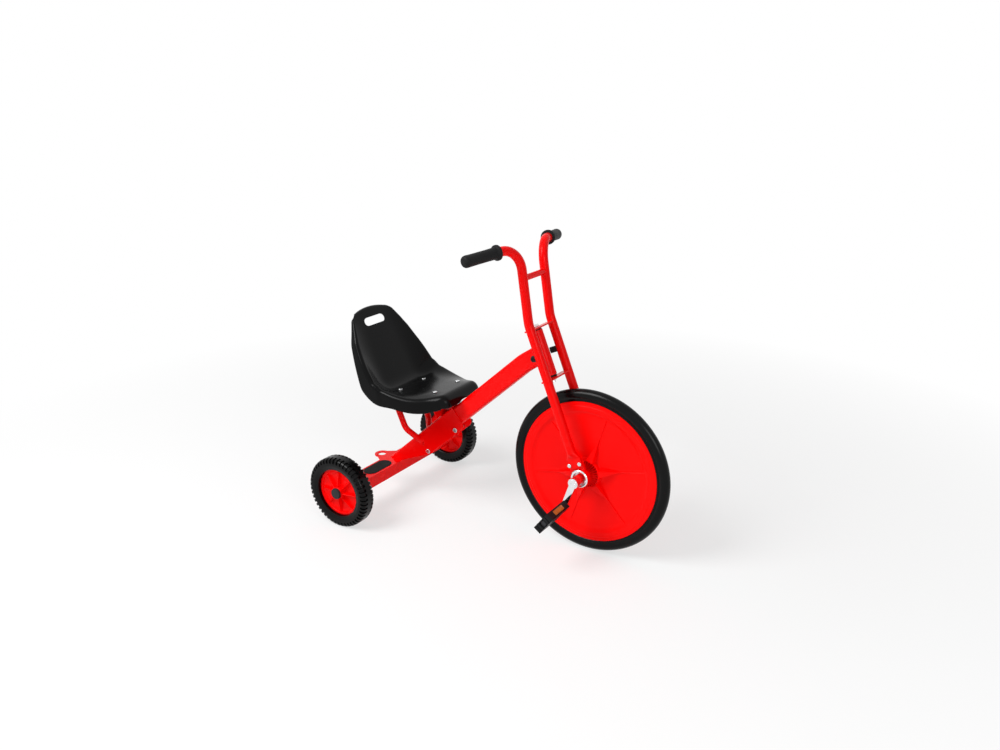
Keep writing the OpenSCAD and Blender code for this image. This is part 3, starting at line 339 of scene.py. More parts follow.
def bend(path, r, angle, turn, steps):
    M = path[-1] @ turned(turn, "Z")
    for i in range(1, steps + 1):
        part = angle * i / steps
        a = radians(part)
        path.append(M @ shift(r * (1 - cos(a)), 0, r * sin(a)) @ turned(part, "Y") @ turned(-turn, "Z"))


def loft(path, sections):
    n = len(sections[0])
    verts, faces = [], []
    for M, sec in zip(path, sections):
        verts += [tuple(M @ Vector((a, b, 0))) for a, b in sec]
    for i in range(len(path) - 1):
        for j in range(n):
            k = (j + 1) % n
            faces.append((i * n + j, i * n + k, (i + 1) * n + k, (i + 1) * n + j))
    faces.append(tuple(range(n))[::-1])
    faces.append(tuple((len(path) - 1) * n + j for j in range(n)))
    return verts, faces


def same(path, section):
    return loft(path, [section] * len(path))


# fork tubes, from their flattened, bolted ends up to the bars
TUBE_N, SQUARENESS = 48, 5.0
KINK_AT, KINK_R, KINK = 414, 110, 13.5
UPPER_LEN, BAR_R, BAR_BEND, BAR_TURN = 129, 58, 92.6, 106.3
BAR_BARE, GRIP_LEN, BAR_SHORT = 11, 112, 5
CROSS_AT = 107
# height, half width, half thickness, and how far the section has become round
FLAT_END = [(28, 15, 1.6, 0.0), (28.6, 17, 2.2, 0.0), (30.5, 19.4, 2.5, 0.0), (34, 21, 2.5, 0.0), (50, 21, 2.5, 0.0),
            (54, 20.6, 2.9, 0.04), (58, 19.4, 4.2, 0.2), (62, 17.6, 6.6, 0.45), (66, 15.6, 9.4, 0.72),
            (70, 13.6, 11.6, 0.93), (74, TUBE_R, TUBE_R, 1.0), (80, TUBE_R, TUBE_R, 1.0)]


def flat_section(half_w, half_t, roundness):
    """Between a square with rounded corners and a circle."""
    pts = []
    for cx, cy in ring(1.0, TUBE_N):
        d = (abs(cx) ** SQUARENESS + abs(cy) ** SQUARENESS) ** (1 / SQUARENESS)
        rx, ry = cx / d, cy / d
        pts.append(((rx + (cx - rx) * roundness) * half_w, (ry + (cy - ry) * roundness) * half_t))
    return pts


cross_ends, bar_ends = {}, {}
for side, word in SIDES:
    foot = FORK @ shift(0, side * FORK_HALF, 0)
    path = [foot @ shift(0, 0, row[0]) for row in FLAT_END]
    sections = [flat_section(*row[1:]) for row in FLAT_END]
    straight(path, KINK_AT - FLAT_END[-1][0], 6)
    bend(path, KINK_R, KINK, 0, 8)
    cross_ends[side] = path[-1] @ shift(0, 0, CROSS_AT)
    straight(path, UPPER_LEN, 3)
    bend(path, BAR_R, BAR_BEND, side * BAR_TURN, 24)
    bar_ends[side] = path[-1]
    straight(path, BAR_BARE + GRIP_LEN - BAR_SHORT, 3)
    sections += [ring(TUBE_R, TUBE_N)] * (len(path) - len(sections))
    mesh_object(word + "_fork_tube_form", loft(path, sections), "red_paint", "steering_unit", word + "_fork_tube",
                angle=50)

# cross tube between them
CROSS_R, CROSS_RUN = 8, (6, 56, 106)
start = shift(*cross_ends[-1].translation) @ turned(-90, "X")
path = [start @ shift(0, 0, t) for t in CROSS_RUN]
mesh_object("cross_tube_form", same(path, ring(CROSS_R, 32)), "red_paint", "steering_unit", "cross_tube")

# weld beads: points round the cord, its ripple, and how thin an open bead gets at its ends
BEAD_N, RIPPLE, RIPPLE_STEP, RIPPLE_START, BEAD_END = 8, 0.22, 1.9, 1.0, 0.35
BEAD_ASIDE, BEAD_ASIDE_MIN = (0.31, 0.17, 0.93), 0.2  # a direction that few beads run along


def bead(points, r, closed=True):
    """Weld bead along points: a round cord whose thickness ripples like laid weld."""
    pts = [Vector(p) for p in points]
    n, m = len(pts), BEAD_N
    verts, faces = [], []
    aside = Vector(BEAD_ASIDE).normalized()
    for i, p in enumerate(pts):
        after = pts[(i + 1) % n] if closed or i < n - 1 else p
        before = pts[i - 1] if closed or i > 0 else p
        way = (after - before).normalized()
        u = way.cross(aside)
        if u.length < BEAD_ASIDE_MIN:
            u = way.cross(Vector((1, 0, 0)))
        u.normalize()
        w = way.cross(u)
        rr = r * (1 + RIPPLE * sin(i * RIPPLE_STEP + RIPPLE_START))
        if not closed and i in (0, n - 1):
            rr *= BEAD_END
        for j in range(m):
            t = 2 * pi * j / m
            verts.append(tuple(p + u * rr * cos(t) + w * rr * sin(t)))
    for i in range(n if closed else n - 1):
        a, b = i * m, ((i + 1) % n) * m
        for j in range(m):
            faces.append((a + j, b + j, b + (j + 1) % m, a + (j + 1) % m))
    if not closed:
        faces.append(tuple(range(m))[::-1])
        faces.append(tuple((n - 1) * m + j for j in range(m)))
    return verts, faces


# welds on the fork: where the cross tube meets the fork tubes, and at both yokes
CROSS_BEAD, CROSS_BEAD_N = 1.5, 40
YOKES_AT, YOKE_HALF_T, YOKE_FRONT, YOKE_OUT = (270, 410), 2, 9, 6
YOKE_BEAD, YOKE_BEAD_N, YOKE_BEAD_END = 1.1, 24, 128
welds = []
for side, word in SIDES:
    pts = []
    for dz, dx in ring(CROSS_R, CROSS_BEAD_N):
        dy = sqrt(TUBE_R ** 2 - dx ** 2)
        pts.append(cross_ends[side] @ Vector((dx, -side * dy, dz)))
    welds.append(bead(pts, CROSS_BEAD))
    for at in YOKES_AT:
        for lift in (-YOKE_HALF_T, YOKE_HALF_T):
            place = FORK @ shift(0, side * FORK_HALF, at + lift)
            pts = [place @ Vector((x, y, 0)) for x, y in arc(0, 0, TUBE_R, -YOKE_BEAD_END, YOKE_BEAD_END, YOKE_BEAD_N)
                   if x <= YOKE_FRONT and side * y <= YOKE_OUT]
            welds.append(bead(pts, YOKE_BEAD, closed=False))
mesh_object("fork_welds", join(*welds), "red_paint", "steering_unit", angle=0)

# main beam
HEAD_BACK, HEAD_AT = 20, 340
NOSE_LEN, NOSE_RISE, NOSE_SHORT = 65, 34, 1.0
BEAM_BEND_R, BEAM_H, BEAM_W, BEAM_CORNER = 160, 52, 38, 9
FOOT_X, FOOT_Z = 87, 169.5
head = FORK @ Vector((-HEAD_BACK, 0, HEAD_AT))
bend_at = head - NOSE_LEN * Vector((cos(radians(NOSE_RISE)), 0, sin(radians(NOSE_RISE))))
foot = Vector((REAR_X + FOOT_X, 0, FOOT_Z))
rise = atan2(bend_at.z - foot.z, bend_at.x - foot.x)
beam_turn = rise - radians(NOSE_RISE)
tangent = BEAM_BEND_R * tan(beam_turn / 2)
path = [Matrix.Translation(foot) @ Matrix.Rotation(-rise, 4, "Y") @ turned(90, "Y")]
straight(path, (bend_at - foot).length - tangent, 8)
bend(path, BEAM_BEND_R, degrees(beam_turn), 0, 10)
straight(path, NOSE_LEN - tangent - NOSE_SHORT, 2)
mesh_object("main_beam_form", same(path, rounded_rect(BEAM_H, BEAM_W, BEAM_CORNER, 8)), "red_paint", "frame",
            "main_beam")

# weld round the beam's nose: lines along the beam, up to the head tube's surface
HEAD_BEAD, HEAD_BEAD_R, HEAD_BEAD_HALF, LINE_BACK = 2.0, 16.6, 16.2, 30
nose = path[-1]
way = (nose.to_3x3() @ Vector((0, 0, 1))).normalized()
head_axis = (FORK.to_3x3() @ Vector((0, 0, 1))).normalized()
across = way - head_axis * way.dot(head_axis)
pts = []
for h, y in rounded_rect(BEAM_H, BEAM_W, BEAM_CORNER, 6):
    base = nose @ Vector((h, max(-HEAD_BEAD_HALF, min(HEAD_BEAD_HALF, y)), -LINE_BACK))
    off = base - head
    off = off - head_axis * off.dot(head_axis)
    a, b, c = across.dot(across), 2 * across.dot(off), off.dot(off) - HEAD_BEAD_R ** 2
    run = (-b - sqrt(max(0.0, b * b - 4 * a * c))) / (2 * a)
    p = base + way * run
    pts.append(Vector((p.x, y if abs(y) > HEAD_BEAD_HALF else p.y, p.z)))
mesh_object("head_weld", bead(pts, HEAD_BEAD), "red_paint", "frame", angle=0)

# seat support tubes, from their rounded front ends under the pan to their toes on the rear bracket
RAIL_FRONT, RAIL_HALF, RAIL_LOW, RAIL_LEN, RAIL_R, RAIL_N = 139, 56, 14.7, 147, 9, 36
RAIL_NOSE = [(0, 7.2), (0.5, 8.6), (1.8, RAIL_R)]  # distance and radius
RAIL_BEND_R, RAIL_BEND, LEG_LEN = 18, 107, 73
TOE_BEND_R, TOE_BEND, TOE_TURN, TOE_Y, TOE_SINK = 45, 34, 104, 21.6, 3.5
TOE_BEAD, TOE_BEAD_N, TOE_BEAD_Y = 1.7, 44, 22.2
welds = []
for side, word in SIDES:
    start = SEAT @ shift(RAIL_FRONT, side * RAIL_HALF, -RAIL_LOW) @ turned(-90, "Y")
    path = [start @ shift(0, 0, d) for d, r in RAIL_NOSE]
    sections = [ring(r, RAIL_N) for d, r in RAIL_NOSE]
    straight(path, RAIL_LEN - RAIL_NOSE[-1][0], 4)
    bend(path, RAIL_BEND_R, RAIL_BEND, 180, 16)
    straight(path, LEG_LEN, 3)
    bend(path, TOE_BEND_R, TOE_BEND, -side * TOE_TURN, 10)
    toe = path[-1]
    way = toe.to_3x3() @ Vector((0, 0, 1))
    straight(path, (side * TOE_Y - toe.translation.y) / way.y + TOE_SINK, 2)
    sections += [ring(RAIL_R, RAIL_N)] * (len(path) - len(sections))
    mesh_object(word + "_seat_support_form", loft(path, sections), "red_paint", "frame", word + "_seat_support",
                angle=45)
    pts = []
    for x, y in ring(RAIL_R, TOE_BEAD_N):
        p = toe @ Vector((x, y, 0))
        pts.append(p + way * ((side * TOE_BEAD_Y - p.y) / way.y))
    welds.append(bead(pts, TOE_BEAD))
mesh_object("seat_support_welds", join(*welds), "red_paint", "frame", angle=0)

# seat shell, by stations k along its middle: lip 0 to 1, pan to 2, hip to 3, back to 4, crown to 5
SEAT_HALF, WALL_RISE, ROLL_R, SKIRT_DROP, SEAT_T = 147, 30, 8, 46, 5
LIP_SHARE, LIP_R, LIP_DROP, PAN_END, PAN_FLAT = 0.3, 26.0, 6.0, 162.0, 0.48
LIP_NOTCH, NOTCH_HALF, NOTCH_FADE, CORNER_LOW = 8.5, 14, 9, 42.5
HIP_R, BACK_LEN, BACK_LEAN = 50.0, 210.0, 28
CROWN_R, CROWN_TURN, CROWN_ARCH, CROWN_HALF, CROWN_BLEND = 9.0, 150, 16.0, SEAT_HALF * 0.59, 0.2
EASE, SKIRT_EASE, SKIRT_EASE_FROM = 0.1, 0.08, 1.3
SEAT_TURN = 90 - BACK_LEAN + SEAT_RISE
HIP_END = (-HIP_R * sin(radians(SEAT_TURN)), HIP_R * (1 - cos(radians(SEAT_TURN))))
BACK_DIR = (-cos(radians(SEAT_TURN)), sin(radians(SEAT_TURN)))
BACK_END = (HIP_END[0] + BACK_LEN * BACK_DIR[0], HIP_END[1] + BACK_LEN * BACK_DIR[1])
# shares of the sizes above at stations k, and the angle in degrees at which the rim's roll starts
WIDTH = [(0, 0.6), (0.3, 0.6), (0.7, 0.61), (1, 0.63), (1.1, 0.67), (1.37, 0.84), (1.55, 0.91), (1.8, 0.97), (2.2, 1),
         (3, 1), (3.27, 0.96), (3.48, 0.88), (3.65, 0.81), (3.79, 0.74), (3.94, 0.66), (4, 0.59), (4.4, 0.49),
         (5, 0.42)]
RISE = [(0, 0), (1, 0), (1.25, -0.2), (1.5, -0.1), (1.8, 0.35), (2, 0.8), (2.5, 1), (2.8, 0.97), (3, 0.84),
        (3.15, 0.67), (3.3, 0.51), (3.5, 0.33), (3.84, 0.2), (4, 0.05), (5, 0)]
SKIRT = [(1, 0.465), (1.2, 0.57), (1.5, 0.65), (1.8, 0.71), (2, 0.97), (2.5, 1), (3, 0.96), (3.27, 0.6), (3.5, 0.42),
         (3.65, 0.33), (3.8, 0.22), (3.9, 0.14), (4, 0.08), (5, 0.06)]
ARCH = [(3.6, 0), (4, 1)]
ROLL = [(1, 2.75), (1.2, 2.4), (1.5, 1.75), (1.8, 1.4), (2, 1.25), (3, 1.2), (3.7, 1), (4, 0.5), (5, 0.4)]
ROLL_START = [(1.2, 90), (1.8, 120)]
THICK = [(3.85, 1), (4, 0.5)]
PAN_N, ROLL_N, SKIRT_N = 16, 9, 5


def look(k, table):
    """Value at k, along straight lines between the table's rows."""
    if k <= table[0][0]:
        return table[0][1]
    for (a, x), (b, y) in zip(table, table[1:]):
        if k <= b:
            return x + (y - x) * (k - a) / (b - a)
    return table[-1][1]


def eased(k, table, e=EASE):
    """Mean of the values round k, so that the table's corners come out round."""
    return (look(k - e, table) + look(k - e / 2, table) * 2 + look(k, table) * 2
            + look(k + e / 2, table) * 2 + look(k + e, table)) / 8


def seat_lean(k):
    if k < LIP_SHARE:
        return 90
    if k < 1:
        return 90 * (1 - k) / (1 - LIP_SHARE)
    if k < 2:
        return 0
    if k < 3:
        return (k - 2) * SEAT_TURN
    if k < 4:
        return SEAT_TURN
    return SEAT_TURN - (k - 4) * CROWN_TURN


def seat_middle(k):
    """Point (x, z) of the seat's middle line at station k, and its normal."""
    n = (sin(radians(seat_lean(k))), cos(radians(seat_lean(k))))
    if k < LIP_SHARE:
        return (PAN_END + LIP_R, -LIP_R - LIP_DROP * (1 - k / LIP_SHARE)), n
    if k < 1:
        return (PAN_END + LIP_R * n[0], -LIP_R + LIP_R * n[1]), n
    if k < 2:
        return (PAN_END * (2 - k), 0.0), n
    if k < 3:
        return (-HIP_R * n[0], HIP_R - HIP_R * n[1]), n
    if k < 4:
        return (HIP_END[0] + (k - 3) * BACK_LEN * BACK_DIR[0], HIP_END[1] + (k - 3) * BACK_LEN * BACK_DIR[1]), n
    n0 = (sin(radians(SEAT_TURN)), cos(radians(SEAT_TURN)))
    c = (BACK_END[0] - CROWN_R * n0[0], BACK_END[1] - CROWN_R * n0[1])
    return (c[0] + CROWN_R * n[0], c[1] + CROWN_R * n[1]), n


def section_shape(k):
    """Half width, the roll's radius, its middle, the point where it starts, and the angle there."""
    w, rise, r = SEAT_HALF * eased(k, WIDTH), WALL_RISE * eased(k, RISE), ROLL_R * look(k, ROLL)
    mid, start = (w - r, rise - r), radians(look(k, ROLL_START))
    inner = (mid[0] + r * cos(start), mid[1] + r * sin(start))
    return w, r, mid, inner, start


def pan_height(t, inner):
    return inner[1] * (max(0.0, t - PAN_FLAT) / (1 - PAN_FLAT)) ** 2


def on_seat(k, y, h, arch=1.0):
    """Point of the seat at station k. The crown falls and gets smaller towards its corners, and the lip has a
    notch over the beam."""
    (mx, mz), n = seat_middle(k)
    if k > 4:
        c = 1 - CROWN_BLEND * (y / section_shape(k)[0]) ** 4
        mx, mz = BACK_END[0] + (mx - BACK_END[0]) * c, BACK_END[1] + (mz - BACK_END[1]) * c
    fall = arch * CROWN_ARCH * look(k, ARCH) * (y / CROWN_HALF) ** 2
    beside = (1 - cos(pi * min(1.0, max(0.0, (abs(y) - NOTCH_HALF) / NOTCH_FADE)))) / 2
    drop = LIP_NOTCH * max(0.0, 1 - k / LIP_SHARE) * beside
    return (mx + h * n[0] - fall * BACK_DIR[0], y, mz + h * n[1] - fall * BACK_DIR[1] - drop)


def half_section(k):
    """Points (y, height) from the middle out over the pan, round the roll and down the skirt."""
    w, r, mid, inner, start = section_shape(k)
    pts = [(t * inner[0], pan_height(t, inner)) for t in [i / PAN_N for i in range(PAN_N)]]
    roll = [start * (1 - i / ROLL_N) for i in range(ROLL_N + 1)]
    pts += [(mid[0] + r * cos(t), mid[1] + r * sin(t)) for t in roll]
    drop = SKIRT_DROP * (look(k, SKIRT) if k < SKIRT_EASE_FROM else eased(k, SKIRT, SKIRT_EASE))
    return pts + [(w, mid[1] - drop * (i + 1) / SKIRT_N) for i in range(SKIRT_N)]


def placed_half(k):
    """Half section in place. In front of the pan the skirt hangs straight down to the depth of the corners."""
    half = half_section(k)
    if k >= 1:
        return [on_seat(k, y, h) for y, h in half]
    row = [on_seat(k, y, h) for y, h in half[:-SKIRT_N]]
    x, y, z = row[-1]
    return row + [(x, y, z + (-CORNER_LOW - z) * (i + 1) / SKIRT_N) for i in range(SKIRT_N)]


def stations(first, last, n):
    """n even steps from first, without last."""
    return [first + (last - first) * i / n for i in range(n)]


ks = [0, LIP_SHARE / 2] + stations(LIP_SHARE, 1, 12) + stations(1, 2, 24) + stations(2, 3, 20)
ks += stations(3, 4, 46) + stations(4, 5, 12) + [5]
rows, verts = [], []
for k in ks:
    half = placed_half(k)
    line = [(x, -y, z) for x, y, z in half[:0:-1]] + half
    rows.append(list(range(len(verts), len(verts) + len(line))))
    verts += line

# the hand hole: an opening in the grid, filled by rings that close in on the hole's outline
HOLE_DOWN, HOLE_HALF_LEN, HOLE_HALF_W = 36.0, 45.0, 12.0
HOLE_ROOM, HOLE_COLUMNS = 22, 11
HOLE_RINGS = (0.72, 0.48, 0.28, 0.13, 0.05, 0.0)
HOLE_AT = BACK_LEN - HOLE_DOWN


def from_hole(k):
    """Way along the back from the middle of the hand hole to station k."""
    return (k - 3) * BACK_LEN - HOLE_AT


def hole_outline(angle):
    """Point of the hand hole's outline in a direction from its middle."""
    dx, dy = cos(angle), sin(angle)
    half = HOLE_HALF_LEN - HOLE_HALF_W
    t = HOLE_HALF_W / abs(dy) if abs(dy) > 1e-9 else 1e9
    if abs(t * dx) <= half:
        return t * dx, t * dy
    c = half if dx > 0 else -half
    b = -dx * c
    t = -b + sqrt(max(0, b * b - (c * c - HOLE_HALF_W ** 2)))
    return t * dx, t * dy


middle = len(rows[0]) // 2
i0 = max(i for i, k in enumerate(ks) if 3 < k < 4 and from_hole(k) < -HOLE_ROOM)
i1 = min(i for i, k in enumerate(ks) if 3 < k < 4 and from_hole(k) > HOLE_ROOM)
j0, j1 = middle - HOLE_COLUMNS, middle + HOLE_COLUMNS
faces = []
for i in range(len(rows) - 1):
    for j in range(len(rows[0]) - 1):
        if i0 <= i < i1 and j0 <= j < j1:
            continue
        faces.append((rows[i][j], rows[i][j + 1], rows[i + 1][j + 1], rows[i + 1][j]))
loop = [(i0, j) for j in range(j0, j1)] + [(i, j1) for i in range(i0, i1)]
loop += [(i1, j) for j in range(j1, j0, -1)] + [(i, j0) for i in range(i1, i0, -1)]
flat = []
for i, j in loop:
    y = half_section(ks[i])[abs(j - middle)][0] * (1 if j >= middle else -1)
    flat.append((y, from_hole(ks[i])))
hole_rings = [[rows[i][j] for i, j in loop]]
for share in HOLE_RINGS:
    ids = []
    for y, s in flat:
        hy, hs = hole_outline(atan2(s, y))
        py, ps = hy + (y - hy) * share, hs + (s - hs) * share
        k = 3 + (ps + HOLE_AT) / BACK_LEN
        inner = section_shape(k)[3]
        h = pan_height(min(1.0, abs(py) / inner[0]), inner)
        ids.append(len(verts))
        verts.append(on_seat(k, py, h, share))
    hole_rings.append(ids)
n = len(loop)
for p, q in zip(hole_rings, hole_rings[1:]):
    for j in range(n):
        faces.append((p[j], p[(j + 1) % n], q[(j + 1) % n], q[j]))
seat = mesh_object("seat_shell", (verts, faces), "seat_plastic", "frame", "seat", matrix=SEAT, angle=0)
thick = seat.vertex_groups.new(name="thick")
for k, row in zip(ks, rows):
    thick.add(row, look(k, THICK), "REPLACE")
thick.add([i for ids in hole_rings[1:] for i in ids], 1.0, "REPLACE")

# the grid's points inside the opening are deleted, and the faces turned up, because the thickness goes below them
ON_PAN = (60, 0, 0)
bm = bmesh.new()
bm.from_mesh(seat.data)
bmesh.ops.delete(bm, geom=[v for v in bm.verts if not v.link_faces], context="VERTS")
up, on_pan = SEAT.to_3x3() @ Vector((0, 0, 1)), (SEAT @ Vector(ON_PAN)) * MM
pan_face = min(bm.faces, key=lambda f: (f.calc_center_median() - on_pan).length)
if pan_face.normal.dot(up) < 0:
    bmesh.ops.reverse_faces(bm, faces=bm.faces)
bm.to_mesh(seat.data)
bm.free()
ease = seat.modifiers.new("ease", "SMOOTH")
ease.factor = 0.5
ease.iterations = 6
shell = seat.modifiers.new("thickness", "SOLIDIFY")
shell.thickness = SEAT_T * MM
shell.offset = -1
shell.vertex_group = "thick"
shell.use_even_offset = False
finer = seat.modifiers.new("smooth", "SUBSURF")
finer.levels = finer.render_levels = 1

# front wheel and tyre: profiles are (radius, height from the middle plane)
FRONT_N = 160
FRONT_TYRE = [(199.1, 0), (199.1, 12.4), (199.9, 13.2), (202.8, 13.3), (203.8, 12.6), (205.0, 12.3)]
FRONT_TYRE += arc(214.5, 0, 15.5, 124, 0, 22)
FRONT_DISC = [(8.05, 0), (8.05, 44.9), (15.8, 44.9), (17, 43.7), (17, 15), (18.5, 13.2), (34.5, 13.2), (36, 14.5),
              (36.4, 23), (37, 24), (39.4, 24), (40.6, 23), (41.6, 12), (43, 10.2), (47, 9.4), (80, 8.8), (120, 8.6),
              (158, 9.0), (165, 9.6), (170, 12), (173.5, 14.3), (176.5, 15), (186.5, 15), (187.6, 14.1),
              (195.5, 14.1), (198.3, 13.2), (199, 11.8)]
# fins round the hub: radius and top; rays over the disc: radius, half width and top
FINS, FIN_FOOT, FIN_HALF, FIN_TOP_HALF = 30, 12, 1.1, 0.7
FIN_LINE = ((16.6, 30), (27, 28.5), (36.6, 24.6))
RAYS, RAY_TURN, RAY_FOOT, RAY_EDGE, RAY_CROWN = 6, radians(-13), 7.0, 0.8, 0.5
RAY_LINE = ((35, 8.6, 24), (40, 10.2, 29.4), (44, 9.8, 29.2), (60, 7.0, 23.2), (80, 3.6, 15.4), (94, 1.9, 11.6),
            (102, 1.6, 11.2), (166, 1.5, 11.2), (171, 1.0, 10.4))


def fin(s):
    return rib([[(r, d, s * h) for d, h in ((-FIN_HALF, FIN_FOOT), (-FIN_TOP_HALF, top), (FIN_TOP_HALF, top),
                                            (FIN_HALF, FIN_FOOT))] for r, top in FIN_LINE])


def ray(s):
    """Wedge with steep sides and a nearly flat top, which runs out into a thin line."""
    lines = []
    for r, w, top in RAY_LINE:
        edge = min(RAY_EDGE, w / 2)
        shoulder = top - RAY_CROWN
        across = ((-w, RAY_FOOT), (edge - w, shoulder), (0, top), (w - edge, shoulder), (w, RAY_FOOT))
        lines.append([(r, d, s * h) for d, h in across])
    return rib(lines)


front = shift(FRONT_X, 0, FRONT_R) @ turned(-90, "X")
mesh_object("front_tyre_form", revolve(mirrored(FRONT_TYRE), FRONT_N, closed=True), "tyre", "drive_wheel",
            "front_tyre", matrix=front, angle=38)
wheel = [revolve(mirrored(FRONT_DISC), FRONT_N, closed=True)]
for s in (1, -1):
    wheel += [moved(fin(s), Matrix.Rotation(2 * pi * (i + 0.5) / FINS, 4, "Z")) for i in range(FINS)]
    wheel += [moved(ray(s), Matrix.Rotation(2 * pi * i / RAYS + RAY_TURN, 4, "Z")) for i in range(RAYS)]
mesh_object("front_wheel_form", join(*wheel), "wheel_plastic", "drive_wheel", "front_wheel", matrix=front, angle=32)

# rear tyres: a profile of (radius, height, share of the cut between lugs), with the far half set off by half a lug
LUGS, CUT_DEPTH, CUT_MIDDLE_R, CUT_FLATTER = 48, 3.6, 89, 0.75
# share of the cut's depth at parts of the way from one lug to the next
CUT = {0: 0.0, 0.1: 1.0, 0.25: 1.0, 0.4: 1.0, 0.5: 0.0, 0.6: 0.0, 0.75: 0.0, 0.9: 0.0}
REAR_TYRE = [(70.6, 0, 0), (70.6, 17.5, 0), (71.2, 19.6, 0), (73.5, 21.4, 0), (77, 22.5, 0), (79, 22.7, 0),
             (79.8, 23.2, 0), (85, 23.7, 0), (89, 24, 0), (91, 24, 0.0), (91.8, 24, 0.85)]
REAR_TYRE += [(r, h, 1.0) for r, h in arc(93, 12, 12, 90, 0, 9)]
REAR_TYRE += [(REAR_R, 9.5, 1.0), (REAR_R, 8.0, 1.0), (REAR_R, 7.2, 0.0), (REAR_R, 3.5, 0.0)]
REAR_TYRE += [(r, -h, c) for r, h, c in reversed(REAR_TYRE) if h > 1e-6]


def lugged_tyre():
    columns = [(i + part, part) for i in range(LUGS) for part in CUT]
    m, n = len(columns), len(REAR_TYRE)
    verts, faces = [], []
    for at, part in columns:
        a = 2 * pi * at / LUGS
        far_part = round((part + 0.5) % 1.0, 3)
        for r, h, c in REAR_TYRE:
            cut = c * CUT_DEPTH * (CUT[part] if h > 0 else CUT[far_part])
            nr, nh = r - CUT_MIDDLE_R, h * CUT_FLATTER
            d = sqrt(nr * nr + nh * nh) or 1.0
            rr, hh = r - cut * nr / d, h - cut * nh / d
            verts.append((rr * cos(a), rr * sin(a), hh))
    for i in range(m):
        p, q = i * n, ((i + 1) % m) * n
        for j in range(n):
            k = (j + 1) % n
            faces.append((p + j, q + j, q + k, p + k))
    return verts, faces


# rear wheels and hub caps
REAR_N, CAP_N = 96, 64
REAR_DISC = [(7.1, 0), (7.1, 20), (15.8, 20), (17, 18.8), (17.2, 8), (18.6, 5.6), (23, 4.5), (40, 4.1), (56, 4.3),
             (60, 5.0), (62.2, 6.6), (63, 9.8), (64, 10.8), (69.4, 11), (70.5, 10.2)]
REAR_RAYS, REAR_RAY_FOOT, REAR_RAY_EDGE = 8, 3.5, 0.4
REAR_RAY_HALF, REAR_RAY_SHOULDER, REAR_RAY_TOP = 1.7, 1.0, 0.6
REAR_RAY_LINE = ((15.5, 17.4), (24, 16.2), (61.5, 9.2), (63.5, 8.9))
CAP = [(0, 20.3), (15.6, 20.3), (16, 20.8), (16, 25.2), (15.5, 26.5), (14.2, 27.3), (12.8, 27.5), (12.2, 27.2),
       (11.4, 27.3), (6, 27.8), (0, 28)]


def rear_ray(s):
    lines = []
    for r, top in REAR_RAY_LINE:
        side = ((REAR_RAY_HALF, REAR_RAY_FOOT), (REAR_RAY_SHOULDER, top - REAR_RAY_EDGE), (REAR_RAY_TOP, top))
        lines.append([(r, -d, s * h) for d, h in side] + [(r, d, s * h) for d, h in reversed(side)])
    return rib(lines)


for side, word in SIDES:
    rear = shift(REAR_X, side * HALF_TRACK, REAR_R) @ turned(-90 * side, "X")
    body = word + "_rear_unit"
    mesh_object(word + "_rear_tyre_form", lugged_tyre(), "tyre", body, word + "_rear_tyre", matrix=rear, angle=28)
    wheel = [revolve(mirrored(REAR_DISC), REAR_N, closed=True)]
    for s in (1, -1):
        wheel += [moved(rear_ray(s), Matrix.Rotation(2 * pi * i / REAR_RAYS, 4, "Z")) for i in range(REAR_RAYS)]
    mesh_object(word + "_rear_wheel_form", join(*wheel), "wheel_plastic", body, word + "_rear_wheel", matrix=rear,
                angle=32)
    mesh_object(word + "_hub_cap_form", revolve(CAP, CAP_N), "cap_plastic", body, word + "_hub_cap", matrix=rear,
                angle=45)

# grips
GRIP_N = 72
GRIP = [(0, 0.2), (12.6, 0.2), (18.6, 0.0), (19.6, 0.6), (20, 1.8), (20, 6.0), (19.5, 7.4), (18.2, 8.2), (16.6, 9.4),
        (15.7, 11.5), (15.3, 16), (15.0, 40), (15.0, 75), (15.3, 96), (15.5, 100), (15.4, 103.5), (14.6, 107),
        (12.8, 109.8), (10, 111.2), (6, 111.8), (0, GRIP_LEN)]
for side, word in SIDES:
    mesh_object(word + "_grip_form", revolve(GRIP, GRIP_N), "black_rubber", "steering_unit", word + "_grip",
                matrix=bar_ends[side] @ shift(0, 0, BAR_BARE), angle=42)

# softened copies of the other solids
WELD_DIST, FLAT_ANGLE, EDGE_ANGLE = 2e-5, 1.2, 32


def softened(node, width, segments):
    """A copy of a CAD node with its flats merged and its edges broken, in place of the node."""
    src = frame["nodes"][node]
    me = src.data.copy()
    me.name = node + "_form"
    bm = bmesh.new()
    bm.from_mesh(me)
    bmesh.ops.remove_doubles(bm, verts=bm.verts, dist=WELD_DIST)
    bmesh.ops.dissolve_limit(bm, angle_limit=radians(FLAT_ANGLE), verts=bm.verts, edges=bm.edges)
    bm.to_mesh(me)
    bm.free()
    o = bpy.data.objects.new(node + "_form", me)
    scene.collection.objects.link(o)
    for p in me.polygons:
        p.use_smooth = True
    me.set_sharp_from_angle(angle=radians(EDGE_ANGLE))
    bev = o.modifiers.new("edges", "BEVEL")
    bev.width = width * MM
    bev.segments = segments
    bev.limit_method = "ANGLE"
    bev.angle_limit = radians(EDGE_ANGLE)
    bev.harden_normals = True
    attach(o, src["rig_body"])
    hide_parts(node)
    return o


